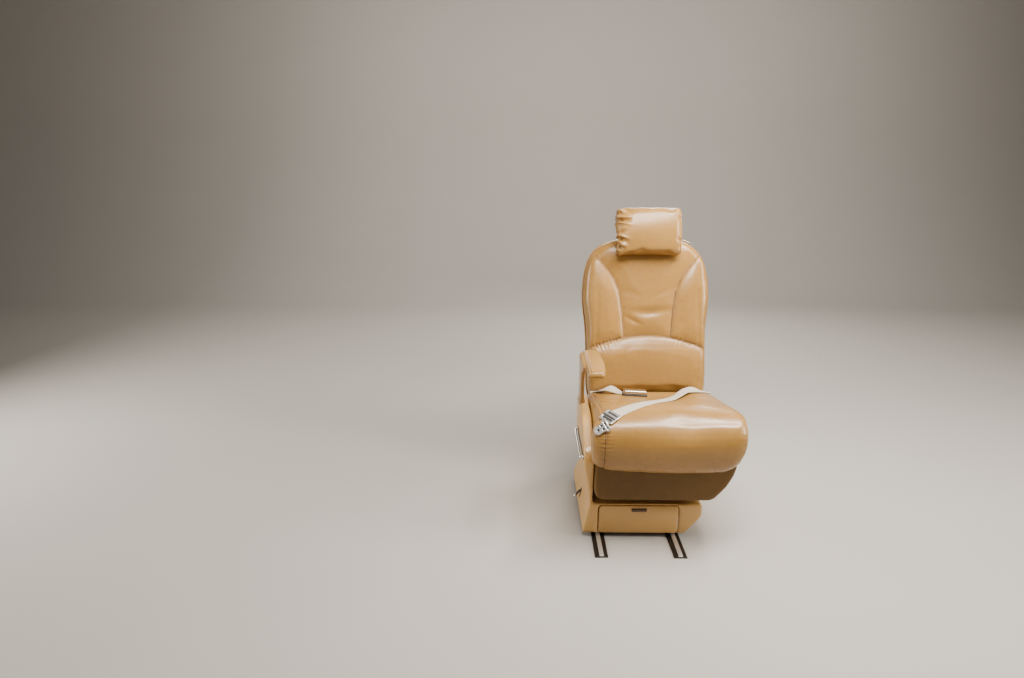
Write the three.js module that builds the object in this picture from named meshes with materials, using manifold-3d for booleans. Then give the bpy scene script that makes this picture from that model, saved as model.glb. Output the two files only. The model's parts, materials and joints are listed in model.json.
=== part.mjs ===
// Business jet passenger seat: one executive chair on floor rails, with a tracking pedestal,
// a reclining back, a sliding headrest, a height-adjustable armrest and a stowage drawer.
// Millimetres, +Z up, the sitter faces -Y and the armrest is on the -X side.
import * as THREE from 'three';
import { mergeVertices } from 'three/addons/utils/BufferGeometryUtils.js';
import Module from 'manifold-3d';

const wasm = await Module();
wasm.setup();

// Driving dimensions. In the seat's own frame X = 0 is the middle of the cushion,
// Y = 0 the middle of the pedestal and Z = 0 the top of the floor rails.
const GAP = 0.3; // between pieces that touch
const RAIL = { height: 12, foot: 5, width: 44, rib: 14, front: -330, rear: 330, aisleX: -226, wallX: 34 };
const SHOE = { width: 34, length: 50, height: 21, cheek: 5, slack: 0.5, frontY: -145, rearY: 82 };
const BEAM = { thick: 24, wall: 4, cross: 28, front: -172, rear: 108, top: 107.7 };
const BASE = { front: -208, rear: 232, bottom: 3, top: 118, wall: 10,
  floorX: -282, waistX: -258, wallX: 127, chamferX: 70, chamferZ: 70 };
const DRAWER = { x0: -222, x1: 44, z0: 9, z1: 107, depth: 278, gap: 5, front: 14, radius: 12, sheet: 4,
  boxX0: -206, boxX1: 14, boxZ0: 28, boxZ1: 92 };
const PULL = { half: 26, z0: 92, z1: 101, depth: 9, radius: 3 };
const RUNNER = { thick: 6, under: 12, start: 29, end: 40 };
const PLATE = { x0: -234, x1: 108, y0: -150, y1: 170 };
const PAN = { x0: -247, x1: 228, y0: -235, y1: 195, bottom: 143, top: 286 };
const CUSHION = { front: -307, rear: 158, under: PAN.top + GAP };
const FAIRING = { inner: -248.5, outer: -283, front: -231, shoulderZ: 300, top: 402 };
const ARM = { padX0: -265, padX1: -211, front: -134, rear: 132, top: 567, thick: 27,
  postX0: -280.5, postX1: -265.3, postY0: 15, postY1: 100, postBottom: 340, straight: 498, widen: 14,
  slack: 0.5, travel: 65 };
const HINGE = { y: 213, z: 336, x: 155, pin: 7, bore: 7.3, plate: 10, lobe: 16 };
const RECLINE = THREE.MathUtils.degToRad(16.5);
const BACK = { x: -9, half: 245, front: -40, frame: 10, rear: 95, panel: 105, panelInset: 62,
  bottom: 18, top: 643 };
const HEADREST = { half: 122, halfRear: 96, bottom: 560, top: 743, seat: 650,
  front: -110, face: -47, rear: 62 };
const ROD = { radius: 6, x: 92, y: 35, bottom: 500, clearance: 0.6 };
const TAIL = { half: 50, y0: 45, y1: 86, bottom: 592 };
const WEB = { width: 46, thick: 2.5, lift: 1.2, step: 12 };
// The seat's frame is shifted so that the part's origin is the middle of its footprint.
const ORIGIN = { x: 29.6, y: -82, z: RAIL.height };

const LEATHER = { color: 0xc8a878, roughness: 0.42, metalness: 0 };
const MOULDED = { color: 0xc0a070, roughness: 0.5, metalness: 0 };
const CHROME = { color: 0xd8d8d6, roughness: 0.15, metalness: 1 };
const ALLOY = { color: 0xa9abae, roughness: 0.4, metalness: 1 };
const DARK = { color: 0x2b2522, roughness: 0.6, metalness: 0 };
const WEBBING = { color: 0xc9c0b2, roughness: 0.85, metalness: 0 };

// Solids

function solidOf(geometry) {
  const bare = geometry.clone();
  bare.deleteAttribute('normal');
  bare.deleteAttribute('uv');
  const merged = mergeVertices(bare, 1e-4);
  const vertProperties = new Float32Array(merged.attributes.position.array);
  const triVerts = new Uint32Array(merged.index.array);
  return new wasm.Manifold(new wasm.Mesh({ numProp: 3, vertProperties, triVerts }));
}

function geometryOf(solid) {
  const mesh = solid.getMesh();
  const geometry = new THREE.BufferGeometry();
  geometry.setAttribute('position', new THREE.BufferAttribute(new Float32Array(mesh.vertProperties), 3));
  geometry.setIndex(new THREE.BufferAttribute(new Uint32Array(mesh.triVerts), 1));
  geometry.computeVertexNormals();
  return geometry;
}

const join = (first, ...others) => others.reduce((sum, other) => sum.add(other), first);
const cut = (first, ...others) => others.reduce((rest, other) => rest.subtract(other), first);

function extrude(shape, depth, bevel = 0, steps = 3, curveSegments = 5) {
  const options = { depth: depth - 2 * bevel, bevelEnabled: bevel > 0, bevelThickness: bevel,
    bevelSize: bevel, bevelOffset: -bevel, bevelSegments: steps, curveSegments };
  return new THREE.ExtrudeGeometry(shape, options).translate(0, 0, bevel);
}

// A shape drawn in (X, Y) and raised along Z.
function alongZ(shape, from, to, bevel, steps) {
  return solidOf(extrude(shape, to - from, bevel, steps).translate(0, 0, from));
}

// A shape drawn in (Y, Z) and run along X.
function alongX(shape, from, to, bevel, steps) {
  const turn = new THREE.Matrix4().makeBasis(
    new THREE.Vector3(0, 1, 0), new THREE.Vector3(0, 0, 1), new THREE.Vector3(1, 0, 0));
  return solidOf(extrude(shape, to - from, bevel, steps).applyMatrix4(turn).translate(from, 0, 0));
}

// A shape drawn in (X, Z) and run along Y.
function alongY(shape, from, to, bevel, steps) {
  const turn = new THREE.Matrix4().makeBasis(
    new THREE.Vector3(1, 0, 0), new THREE.Vector3(0, 0, 1), new THREE.Vector3(0, -1, 0));
  return solidOf(extrude(shape, to - from, bevel, steps).applyMatrix4(turn).translate(0, to, 0));
}

function box(x0, x1, y0, y1, z0, z1) {
  const geometry = new THREE.BoxGeometry(x1 - x0, y1 - y0, z1 - z0);
  return solidOf(geometry.translate((x0 + x1) / 2, (y0 + y1) / 2, (z0 + z1) / 2));
}

function cylinderX(x0, x1, y, z, radius, sides = 20) {
  const geometry = new THREE.CylinderGeometry(radius, radius, x1 - x0, sides).rotateZ(Math.PI / 2);
  return solidOf(geometry.translate((x0 + x1) / 2, y, z));
}

function cylinderZ(x, y, z0, z1, radius, sides = 16) {
  const geometry = new THREE.CylinderGeometry(radius, radius, z1 - z0, sides).rotateX(Math.PI / 2);
  return solidOf(geometry.translate(x, y, (z0 + z1) / 2));
}

// Points of a closed outline whose corners, given as [u, v, radius], are rounded.
function rounded(corners, steps = 4) {
  const points = [];
  corners.forEach(([u, v, radius], i) => {
    const here = new THREE.Vector2(u, v);
    if (radius === 0) {
      points.push(here);
      return;
    }
    const [u0, v0] = corners.at(i - 1);
    const [u1, v1] = corners[(i + 1) % corners.length];
    const before = new THREE.Vector2(u0, v0).sub(here).setLength(radius);
    const after = new THREE.Vector2(u1, v1).sub(here).setLength(radius);
    const corner = new THREE.QuadraticBezierCurve(here.clone().add(before), here, here.clone().add(after));
    points.push(...corner.getPoints(steps));
  });
  return points;
}

const outline = (corners, steps) => new THREE.Shape(rounded(corners, steps));

// A closed skin over rings of equal point count, with flat ends.
function loft(rings) {
  const count = rings[0].length;
  const positions = rings.flat().flatMap((p) => [p.x, p.y, p.z]);
  const index = [];
  for (let i = 0; i + 1 < rings.length; i++) {
    for (let j = 0; j < count; j++) {
      const a = i * count + j;
      const b = i * count + ((j + 1) % count);
      index.push(a, b, a + count, b, b + count, a + count);
    }
  }
  for (const [ring, flip] of [[0, true], [rings.length - 1, false]]) {
    const centre = positions.length / 3;
    const middle = rings[ring].reduce((sum, p) => sum.add(p), new THREE.Vector3()).divideScalar(count);
    positions.push(middle.x, middle.y, middle.z);
    for (let j = 0; j < count; j++) {
      const a = ring * count + j;
      const b = ring * count + ((j + 1) % count);
      index.push(...(flip ? [b, a, centre] : [a, b, centre]));
    }
  }
  const geometry = new THREE.BufferGeometry();
  geometry.setAttribute('position', new THREE.Float32BufferAttribute(positions, 3));
  geometry.setIndex(index);
  const solid = solidOf(geometry);
  if (solid.volume() > 0) return solid;
  geometry.setIndex(index.reverse());
  return solidOf(geometry);
}

// The part's tree: one group for each moving body.

const part = new THREE.Group();
const seat = new THREE.Group();
seat.position.set(ORIGIN.x, ORIGIN.y, ORIGIN.z);
part.add(seat);
const back = new THREE.Group();
back.position.set(BACK.x, HINGE.y, HINGE.z);
back.rotation.x = -RECLINE;
seat.add(back);

function place(group, name, solid, look) {
  const mesh = new THREE.Mesh(geometryOf(solid), new THREE.MeshStandardMaterial(look));
  mesh.name = name;
  group.add(mesh);
}

// Floor rails: a foot and a polished rib.

function rail(x) {
  const half = RAIL.width / 2;
  const rib = RAIL.rib / 2;
  const foot = RAIL.foot - RAIL.height;
  const section = outline([
    [x - half, -RAIL.height, 0], [x + half, -RAIL.height, 0], [x + half, foot, 1.5], [x + rib, foot, 0],
    [x + rib, 0, 1.5], [x - rib, 0, 1.5], [x - rib, foot, 0], [x - half, foot, 1.5]], 2);
  return alongY(section, RAIL.front, RAIL.rear);
}

// Track shoe: a block on the rib with a cheek down each side of it.
function shoe(x, y) {
  const half = SHOE.width / 2;
  const slot = RAIL.rib / 2 + SHOE.slack;
  const block = box(x - half, x + half, y - SHOE.length / 2, y + SHOE.length / 2, -SHOE.cheek, SHOE.height);
  return cut(block, box(x - slot, x + slot, y - SHOE.length, y + SHOE.length, -SHOE.height, GAP));
}

function beam(x) {
  const half = BEAM.thick / 2;
  const inner = half - BEAM.wall;
  const z0 = SHOE.height + GAP;
  const outer = box(x - half, x + half, BEAM.front, BEAM.rear, z0, BEAM.top);
  const hollow = box(x - inner, x + inner, BEAM.front - 1, BEAM.rear + 1,
    z0 + BEAM.wall, BEAM.top - BEAM.wall);
  return cut(outer, hollow);
}

for (const [side, x] of [['aisle', RAIL.aisleX], ['wall', RAIL.wallX]]) {
  place(seat, `rail_${side}`, rail(x), CHROME);
  place(seat, `side_beam_${side}`, beam(x), ALLOY);
  for (const [end, y] of [['front', SHOE.frontY], ['rear', SHOE.rearY]]) {
    place(seat, `track_shoe_${end}_${side}`, shoe(x, y), ALLOY);
  }
}

function rearBeam() {
  const gap = BEAM.thick / 2 + GAP;
  return box(RAIL.aisleX + gap, RAIL.wallX - gap, BEAM.rear - BEAM.cross, BEAM.rear, SHOE.height + GAP,
    BEAM.top);
}
place(seat, 'cross_beam_rear', rearBeam(), ALLOY);

// Pedestal shroud: open below, flared to the aisle, cut away under the wall side.

function shroudSection(inset) {
  const lift = inset > 0 ? -BASE.wall : 0;
  return outline([
    [BASE.floorX + inset, BASE.bottom + lift, inset > 0 ? 0 : 8],
    [BASE.chamferX - inset, BASE.bottom + lift, inset > 0 ? 0 : 8],
    [BASE.wallX - inset, BASE.chamferZ, 10],
    [BASE.wallX - inset, BASE.top - inset, 10],
    [BASE.waistX + inset, BASE.top - inset, 6]]);
}

function shroudSide(inset) {
  const lift = inset > 0 ? BASE.wall : 0;
  return outline([
    [BASE.front + inset, BASE.bottom - lift, inset > 0 ? 0 : 10],
    [BASE.rear - inset, BASE.bottom - lift, 0],
    [BASE.rear - inset, BASE.bottom + 40, 20], [BASE.rear - 60 - inset / 2, BASE.top - inset, 60],
    [BASE.front + inset, BASE.top - inset, 8]], 6);
}

function shroud() {
  const wide = 400;
  const skin = (inset) =>
    alongY(shroudSection(inset), -wide, wide).intersect(alongX(shroudSide(inset), -wide, wide));
  const g = DRAWER.gap;
  const bay = alongY(
    outline([[DRAWER.x0 - g, DRAWER.z0 - g, 12], [DRAWER.x1 + g, DRAWER.z0 - g, 12],
      [DRAWER.x1 + g, DRAWER.z1 + g, 15], [DRAWER.x0 - g, DRAWER.z1 + g, 15]]),
    BASE.front - wide, BASE.front + BASE.wall + 1);
  const lip = box(DRAWER.x0 - g, DRAWER.x1 + g, BASE.front + BASE.wall, 0, BASE.top - BASE.wall - 8,
    DRAWER.z1 + g);
  return cut(skin(0), skin(BASE.wall), bay.intersect(box(-wide, wide, -wide, 0, 0, DRAWER.z1 + g)), lip);
}
place(seat, 'base_shroud', shroud(), MOULDED);

// Drawer: a front panel, an open box behind it, a pull, and two fixed runners.

function drawerFront() {
  const r = DRAWER.radius;
  const shape = outline([[DRAWER.x0, DRAWER.z0, r], [DRAWER.x1, DRAWER.z0, r], [DRAWER.x1, DRAWER.z1, r],
    [DRAWER.x0, DRAWER.z1, r]]);
  return alongY(shape, BASE.front, BASE.front + DRAWER.front, 2, 1);
}

function drawerBox() {
  const y0 = BASE.front + DRAWER.front + GAP;
  const y1 = BASE.front + DRAWER.depth;
  const s = DRAWER.sheet;
  const outer = box(DRAWER.boxX0, DRAWER.boxX1, y0, y1, DRAWER.boxZ0, DRAWER.boxZ1);
  return cut(outer, box(DRAWER.boxX0 + s, DRAWER.boxX1 - s, y0 + s, y1 - s, DRAWER.boxZ0 + s, BASE.top));
}

function drawerPull() {
  const x = (DRAWER.x0 + DRAWER.x1) / 2;
  const shape = outline([[x - PULL.half, PULL.z0, PULL.radius], [x + PULL.half, PULL.z0, PULL.radius],
    [x + PULL.half, PULL.z1, PULL.radius], [x - PULL.half, PULL.z1, PULL.radius]], 2);
  return alongY(shape, BASE.front - PULL.depth, BASE.front - GAP, 2, 1);
}

function runner(inner, outer) {
  const top = DRAWER.boxZ0 - GAP;
  const y0 = BASE.front + RUNNER.start;
  const y1 = BEAM.rear - RUNNER.end;
  return box(Math.min(inner, outer), Math.max(inner, outer), y0, y1, top - RUNNER.thick, top);
}

place(seat, 'drawer_front', drawerFront(), MOULDED);
place(seat, 'drawer_box', drawerBox(), DARK);
place(seat, 'drawer_pull', drawerPull(), DARK);
const beamFace = BEAM.thick / 2 + GAP;
place(seat, 'drawer_runner_aisle', runner(RAIL.aisleX + beamFace, DRAWER.boxX0 + RUNNER.under), ALLOY);
place(seat, 'drawer_runner_wall', runner(RAIL.wallX - beamFace, DRAWER.boxX1 - RUNNER.under), ALLOY);

// Pan: an upholstered tray on a plate above the shroud.

function pan() {
  const face = outline([[PAN.x0, PAN.bottom, 38], [PAN.x1 - 78, PAN.bottom, 16], [PAN.x1 - 35, 190, 20],
    [PAN.x1 - 9, 240, 20], [PAN.x1, PAN.top, 14], [PAN.x0, PAN.top, 14]], 4);
  return alongY(face, PAN.y0, PAN.y1, 6, 2);
}
place(seat, 'pan_plate',
  box(PLATE.x0, PLATE.x1, PLATE.y0, PLATE.y1, BASE.top + GAP, PAN.bottom - GAP), ALLOY);
place(seat, 'seat_pan', pan(), LEATHER);

// Cushion: sections from rear to front, each with its bottom, its top, its aisle side and its wall side.

const CUSHION_SECTIONS = [
  // y, bottom, top, aisle, wall
  [CUSHION.rear, 297, 392, -236, 230],
  [CUSHION.rear - 12, CUSHION.under + 1, 399, -244, 238],
  [60, CUSHION.under, 411, -247, 241],
  [-60, CUSHION.under, 434, -247, 242],
  [-160, CUSHION.under, 451, -247, 243],
  [-232, CUSHION.under, 457, -247, 243],
  [-248, 278, 456, -252, 243],
  [-270, 277, 449, -253, 242],
  [-291, 287, 432, -249, 238],
  [CUSHION.front, 320, 404, -238, 228],
];

function cushionRing([y, bottom, top, aisle, wall]) {
  const edge = Math.min(30, (top - bottom) * 0.3);
  const corners = [[aisle + 2, bottom, edge * 0.6], [wall - 12, bottom, edge * 0.8], [wall, top, edge],
    [aisle, top, edge]];
  return rounded(corners, 4).map((p) => new THREE.Vector3(p.x, y, p.y));
}
const cushion = loft(CUSHION_SECTIONS.map(cushionRing));
place(seat, 'seat_cushion', cushion, LEATHER);

// What lies on the cushion, trimmed to clear it.
const laid = (solid) => cut(solid, cushion.translate([0, 0, GAP]), cushion.translate([0, GAP, 0]));

// Height of the cushion's crest at a depth y, which the belt lies on.
function crest(y) {
  const next = CUSHION_SECTIONS.findIndex((section) => section[0] <= y);
  const [y0, , top0] = CUSHION_SECTIONS[Math.max(next - 1, 0)];
  const [y1, , top1] = CUSHION_SECTIONS[Math.max(next, 1)];
  return THREE.MathUtils.mapLinear(y, y0, y1, top0, top1);
}

// Aisle-side fairing, from the shroud's waist up to the armrest.

function fairing() {
  const z0 = BASE.top + GAP;
  const side = outline([[-203, z0, 0], [BASE.rear - 75, z0, 0], [120, 215, 30], [112, FAIRING.top, 14],
    [-80, FAIRING.top, 40], [FAIRING.front, FAIRING.shoulderZ, 44]], 5);
  const section = new THREE.Shape([
    [BASE.waistX, z0], [FAIRING.inner, z0], [FAIRING.inner, FAIRING.top - 6],
    [FAIRING.inner - 6, FAIRING.top], [FAIRING.outer + 8, FAIRING.top], [FAIRING.outer, FAIRING.top - 8],
    [FAIRING.outer, 268], [BASE.waistX - 11, 200],
  ].map(([x, z]) => new THREE.Vector2(x, z)));
  const body = alongX(side, -400, 0).intersect(alongY(section, -400, 400));
  const socket = box(ARM.postX0 - ARM.slack, ARM.postX1 + ARM.slack, ARM.postY0 - ARM.slack,
    ARM.postY1 + ARM.slack, ARM.postBottom - ARM.travel, FAIRING.top + 1);
  return cut(body, socket);
}
place(seat, 'side_fairing', fairing(), LEATHER);

// Polished release bar along the fairing, on two brackets.

const BAR = { x: -295, z: 283, y0: -196, y1: 52, radius: 5, seat: FAIRING.outer - GAP };

function barPath() {
  const points = [[BAR.y0, -4], [BAR.y0 + 12, 0], [BAR.y1 - 12, 0], [BAR.y1, -4]];
  return new THREE.CatmullRomCurve3(points.map(([y, z]) => new THREE.Vector3(BAR.x, y, BAR.z + z)));
}

function releaseBar() {
  const section = new THREE.Shape(new THREE.EllipseCurve(0, 0, BAR.radius, BAR.radius).getPoints(10));
  return solidOf(new THREE.ExtrudeGeometry(section,
    { extrudePath: barPath(), steps: 10, bevelEnabled: false }));
}
place(seat, 'release_bar', releaseBar(), CHROME);
for (const [end, y] of [['front', -150], ['rear', 10]]) {
  place(seat, `bar_bracket_${end}`,
    box(BAR.x + BAR.radius + GAP, BAR.seat, y - 8, y + 8, BAR.z - 7, BAR.z + 5), CHROME);
}

// Track lever: a dark slot plate on the shroud's aisle face, a stalk and a knob.

const LEVER = { y: -10, z: 44, lean: Math.atan2(BASE.waistX - BASE.floorX, BASE.top - BASE.bottom) };

function lever() {
  const plate = new THREE.BoxGeometry(2, 12, 46).rotateX(-0.5).translate(-1, 0, 0);
  const stalk = new THREE.CylinderGeometry(3, 3, 16, 10).rotateZ(Math.PI / 2).translate(-9, -4, -10);
  const knob = new THREE.SphereGeometry(7, 12, 8).translate(-18, -4, -10);
  return join(solidOf(plate), solidOf(stalk), solidOf(knob));
}

function placedLever() {
  const x = THREE.MathUtils.mapLinear(LEVER.z, BASE.bottom, BASE.top, BASE.floorX, BASE.waistX);
  const geometry = geometryOf(lever());
  geometry.rotateY(LEVER.lean).translate(x - GAP, LEVER.y, LEVER.z);
  return solidOf(geometry);
}
place(seat, 'track_lever', placedLever(), CHROME);

// Armrest: a long pad held on its outer side by a post that runs in the fairing.

function armPad() {
  const z0 = ARM.top - ARM.thick;
  const side = outline([[ARM.front, z0 + 5, 7], [ARM.front + 40, z0, 10], [ARM.rear, z0 - 14, 14],
    [ARM.rear, ARM.top, 12], [ARM.front, ARM.top - 3, 11]], 4);
  return alongX(side, ARM.padX0, ARM.padX1, 6, 2);
}

function armPost() {
  const side = outline([[ARM.postY0, ARM.postBottom, 0], [ARM.postY1, ARM.postBottom, 0],
    [ARM.postY1, ARM.straight, 30], [ARM.postY1 + ARM.widen, ARM.top - 2, 28],
    [ARM.postY0 + 4, ARM.top - 2, 28], [ARM.postY0, ARM.straight, 30]], 4);
  return alongX(side, ARM.postX0, ARM.postX1, 3, 1);
}
place(seat, 'armrest_pad', armPad(), LEATHER);
place(seat, 'armrest_post', armPost(), LEATHER);

// Recline brackets on the pan's rear face, each with its pin, and the back's lugs on them.

function bracket(side) {
  const x0 = BACK.x + side * HINGE.x;
  const x1 = BACK.x + side * (HINGE.x - HINGE.plate);
  const lobe = HINGE.lobe;
  const profile = outline([[PAN.y1 + GAP, 170, 0], [PAN.y1 + 8, 170, 4], [HINGE.y + 20, 300, 14],
    [HINGE.y + lobe, HINGE.z + lobe, lobe - 1], [HINGE.y - lobe, HINGE.z + lobe, lobe - 1],
    [PAN.y1 + GAP, 290, 4]], 4);
  const plate = alongX(profile, Math.min(x0, x1), Math.max(x0, x1));
  const end = BACK.x + side * (HINGE.x + HINGE.plate + 4);
  return join(plate, cylinderX(Math.min(x1, end), Math.max(x1, end), HINGE.y, HINGE.z, HINGE.pin));
}

function lug(side) {
  const x0 = side * (HINGE.x + 1);
  const x1 = side * (HINGE.x + 1 + HINGE.plate);
  const z1 = BACK.bottom - GAP;
  const profile = outline([[-18, -18, 16], [18, -18, 16], [34, z1, 0], [-18, z1, 0]], 4);
  const plate = alongX(profile, Math.min(x0, x1), Math.max(x0, x1));
  return cut(plate, cylinderX(Math.min(x0, x1) - 1, Math.max(x0, x1) + 1, 0, 0, HINGE.bore));
}

for (const [name, side] of [['aisle', -1], ['wall', 1]]) {
  place(seat, `recline_bracket_${name}`, bracket(side), ALLOY);
  place(back, `back_lug_${name}`, lug(side), ALLOY);
}

// Back: half of its outline as [half width, height above the hinge], mirrored about X = 0.

const BACK_HALF = [[222, BACK.bottom], [229, 65], [230, 160], [231, 235], [235, 300], [241, 350],
  [245, 400], [243, 452], [236, 505], [222, 550], [196, 590], [152, 619], [90, 637]];
const CENTRE_HALF = [[90, 245], [92, 262], [97, 325], [105, 390], [112, 428], [128, 467], [150, 504],
  [180, 541], [215, 580], [250, 612]];
const LUMBAR_ARC = { middle: 251, sides: 201, half: 222 };

function mirrored(half, top) {
  const right = half.map(([x, z]) => new THREE.Vector2(x, z));
  const left = half.map(([x, z]) => new THREE.Vector2(-x, z)).reverse();
  return [...right, ...(top ? [new THREE.Vector2(0, top)] : []), ...left];
}

function backOutline(inset) {
  const curve = new THREE.SplineCurve(mirrored(BACK_HALF, BACK.top));
  const points = curve.getPoints(44);
  const middle = (BACK.bottom + BACK.top) / 2;
  const width = 1 - inset / BACK.half;
  const height = 1 - (2 * inset) / (BACK.top - BACK.bottom);
  const drawn = points.map((p) => new THREE.Vector2(p.x * width, middle + (p.y - middle) * height));
  return new THREE.Shape(drawn);
}

function arcHeight(x) {
  return LUMBAR_ARC.middle - (LUMBAR_ARC.middle - LUMBAR_ARC.sides) * (x / LUMBAR_ARC.half) ** 2;
}

// What lies below the lumbar seam, lowered by a gap.
function belowArc(gap) {
  const arc = Array.from({ length: 21 }, (_, i) => 300 - i * 30)
    .map((x) => new THREE.Vector2(x, arcHeight(x) - gap));
  const shape = new THREE.Shape([new THREE.Vector2(-300, 0), new THREE.Vector2(300, 0), ...arc]);
  return alongY(shape, -200, 200);
}

function centreRegion(gap) {
  const curve = new THREE.SplineCurve(CENTRE_HALF.map(([x, z]) => new THREE.Vector2(x - gap, z)));
  const right = curve.getPoints(14);
  const left = right.map((p) => new THREE.Vector2(-p.x, p.y)).reverse();
  return alongY(new THREE.Shape([new THREE.Vector2(-90, 150), new THREE.Vector2(90, 150), ...right,
    new THREE.Vector2(250, 700), new THREE.Vector2(-250, 700), ...left]), -200, 200);
}

function frontSlab(proud) {
  return alongY(backOutline(0), BACK.front - proud, BACK.frame, 16, 3);
}

const SEAM = 0.25;
const PROUD = { lumbar: 10, bolster: 8 };
const aboveLumbar = (solid) => cut(solid, belowArc(-SEAM));
place(back, 'back_centre', aboveLumbar(frontSlab(0)).intersect(centreRegion(SEAM)), LEATHER);
place(back, 'lumbar_pad', frontSlab(PROUD.lumbar).intersect(belowArc(SEAM)), LEATHER);
for (const [name, x0, x1] of [['aisle', -300, 0], ['wall', 0, 300]]) {
  const both = cut(aboveLumbar(frontSlab(PROUD.bolster)), centreRegion(-SEAM));
  place(back, `bolster_${name}`, both.intersect(box(x0, x1, -200, 200, 0, 800)), LEATHER);
}

// Rear shell with the bores for the headrest's rods and the scoop for its tail.

const SCOOP = { half: 62, bottom: 566, depth: 38 };

function scoop(gap) {
  const r = SCOOP.half - gap;
  return outline([[-r, SCOOP.bottom + gap, 34], [r, SCOOP.bottom + gap, 34], [r + 14, 800, 0],
    [-r - 14, 800, 0]], 5);
}

function shell() {
  const slab = alongY(backOutline(0), BACK.frame + GAP, BACK.rear, 18, 3);
  const squareFront = alongY(backOutline(1), BACK.frame + GAP, BACK.frame + 30);
  const bores = [-ROD.x, ROD.x].map((x) =>
    cylinderZ(x, ROD.y, ROD.bottom - 6, BACK.top + 50, ROD.radius + ROD.clearance));
  return cut(join(slab, squareFront), alongY(scoop(0), BACK.rear - SCOOP.depth, BACK.rear + 20), ...bores);
}
place(back, 'back_shell', shell(), LEATHER);

function rearPanel() {
  const plate = alongY(backOutline(BACK.panelInset), BACK.rear + GAP, BACK.panel, 4, 1);
  return cut(plate, alongY(scoop(-2), BACK.rear - 5, BACK.panel + 5));
}
place(back, 'rear_panel', rearPanel(), LEATHER);

// Shoulder harness guide on the wall-side shoulder.

const GUIDE = { x: 164, z: 613.3, y0: 30, y1: 62, lean: 0.5 };

function harnessGuide() {
  const shape = outline([[-24, 0, 3], [24, 0, 3], [20, 10, 4], [-20, 10, 4]], 2);
  const geometry = geometryOf(alongY(shape, GUIDE.y0, GUIDE.y1, 1, 1));
  geometry.rotateY(GUIDE.lean).translate(GUIDE.x, 0, GUIDE.z);
  return solidOf(geometry);
}
place(back, 'harness_guide', harnessGuide(), DARK);

// Headrest: a pillow in front of and over the back's top, with a tail behind and two rods.

function pillow() {
  const h = HEADREST;
  const side = outline([[h.face - 4, h.bottom, 16], [h.face, h.seat, 10], [h.rear, h.seat, 16],
    [h.rear, h.top - 14, 26], [h.front + 14, h.top, 34], [h.front, h.bottom + 90, 40],
    [h.front + 14, h.bottom, 18]], 5);
  const plan = outline([[-h.halfRear, h.rear + 1, 20], [-h.half, h.face, 20], [-h.half, h.front - 1, 0],
    [h.half, h.front - 1, 0], [h.half, h.face, 20], [h.halfRear, h.rear + 1, 20]], 3);
  return alongX(side, -h.half, h.half, 10, 3).intersect(alongZ(plan, 0, 800));
}

function tail() {
  const shape = outline([[-TAIL.half + 10, TAIL.bottom, 20], [TAIL.half - 10, TAIL.bottom, 20],
    [TAIL.half, HEADREST.top - 40, 6], [-TAIL.half, HEADREST.top - 40, 6]], 4);
  const lower = alongY(shape, TAIL.y0, TAIL.y1, 4, 1);
  return cut(lower, box(-100, 100, 0, 66, 0, HEADREST.seat));
}
place(back, 'headrest_pad', join(pillow(), tail()), LEATHER);
for (const [name, x] of [['aisle', -ROD.x], ['wall', ROD.x]]) {
  place(back, `headrest_rod_${name}`,
    cylinderZ(x, ROD.y, ROD.bottom, HEADREST.seat - GAP, ROD.radius), CHROME);
}

// Lap belt: webbing laid on the cushion along [x, y, extra height] points.

const WALL_WEB = [[206, 152, 0], [168, 120, 0], [110, 70, 0], [26, -60, 0], [-58, -137, 0], [-135, -196, 0],
  [-183, -232, 0]];
const AISLE_WEB = [[-212, 150, 0], [-196, 110, 6], [-172, 84, 12], [-146, 62, 4]];

function webbing(points) {
  const flat = points.map(([x, y, extra]) => new THREE.Vector3(x, y, extra));
  const curve = new THREE.CatmullRomCurve3(flat);
  const rings = curve.getSpacedPoints(Math.ceil(curve.getLength() / WEB.step)).map((p, i, all) => {
    const ahead = all[Math.min(i + 1, all.length - 1)];
    const along = ahead.clone().sub(all[Math.max(i - 1, 0)]).setZ(0).normalize();
    const across = new THREE.Vector3(-along.y, along.x, 0).multiplyScalar(WEB.width / 2);
    const strip = [1, 0.5, 0, -0.5, -1].map((k) => p.clone().addScaledVector(across, k));
    const lower = strip.map((e) => new THREE.Vector3(e.x, e.y, crest(e.y) + WEB.lift + p.z));
    const upper = lower.map((e) => e.clone().setZ(e.z + WEB.thick));
    return [...lower, ...upper.reverse()];
  });
  return loft(rings);
}
place(seat, 'belt_webbing_wall', laid(webbing(WALL_WEB)), WEBBING);
place(seat, 'belt_webbing_aisle', laid(webbing(AISLE_WEB)), WEBBING);

// Buckle and tongue lie on the cushion at the ends of the webbing.

const BUCKLE = { x: -94, y: 30, length: 88, width: 52, height: 20, turn: -0.12 };
const TONGUE = { x: -220, y: -264, length: 66, width: 44, height: 6, turn: 0.85 };

// A rounded plate laid on the cushion, tilted to its slope.
function plateOnCushion({ x, y, length, width, height, turn }) {
  const [u, v] = [length / 2, width / 2];
  const plan = outline([[-u, -v, 6], [u, -v, 6], [u, v, 6], [-u, v, 6]], 3);
  const reach = u * Math.abs(Math.sin(turn)) + v * Math.abs(Math.cos(turn));
  const slope = (crest(y + reach) - crest(y - reach)) / (2 * reach);
  const steps = Array.from({ length: 21 }, (_, i) => (i / 10 - 1) * reach);
  const heights = steps.map((step) => crest(y + step) - step * slope);
  const geometry = geometryOf(alongZ(plan, 0, height, Math.min(3, height / 3), 1));
  geometry.rotateZ(turn).rotateX(Math.atan(slope)).translate(x, y, Math.max(...heights) + GAP);
  return laid(solidOf(geometry));
}
place(seat, 'belt_buckle', plateOnCushion(BUCKLE), CHROME);
place(seat, 'belt_tongue', plateOnCushion(TONGUE), CHROME);

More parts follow.
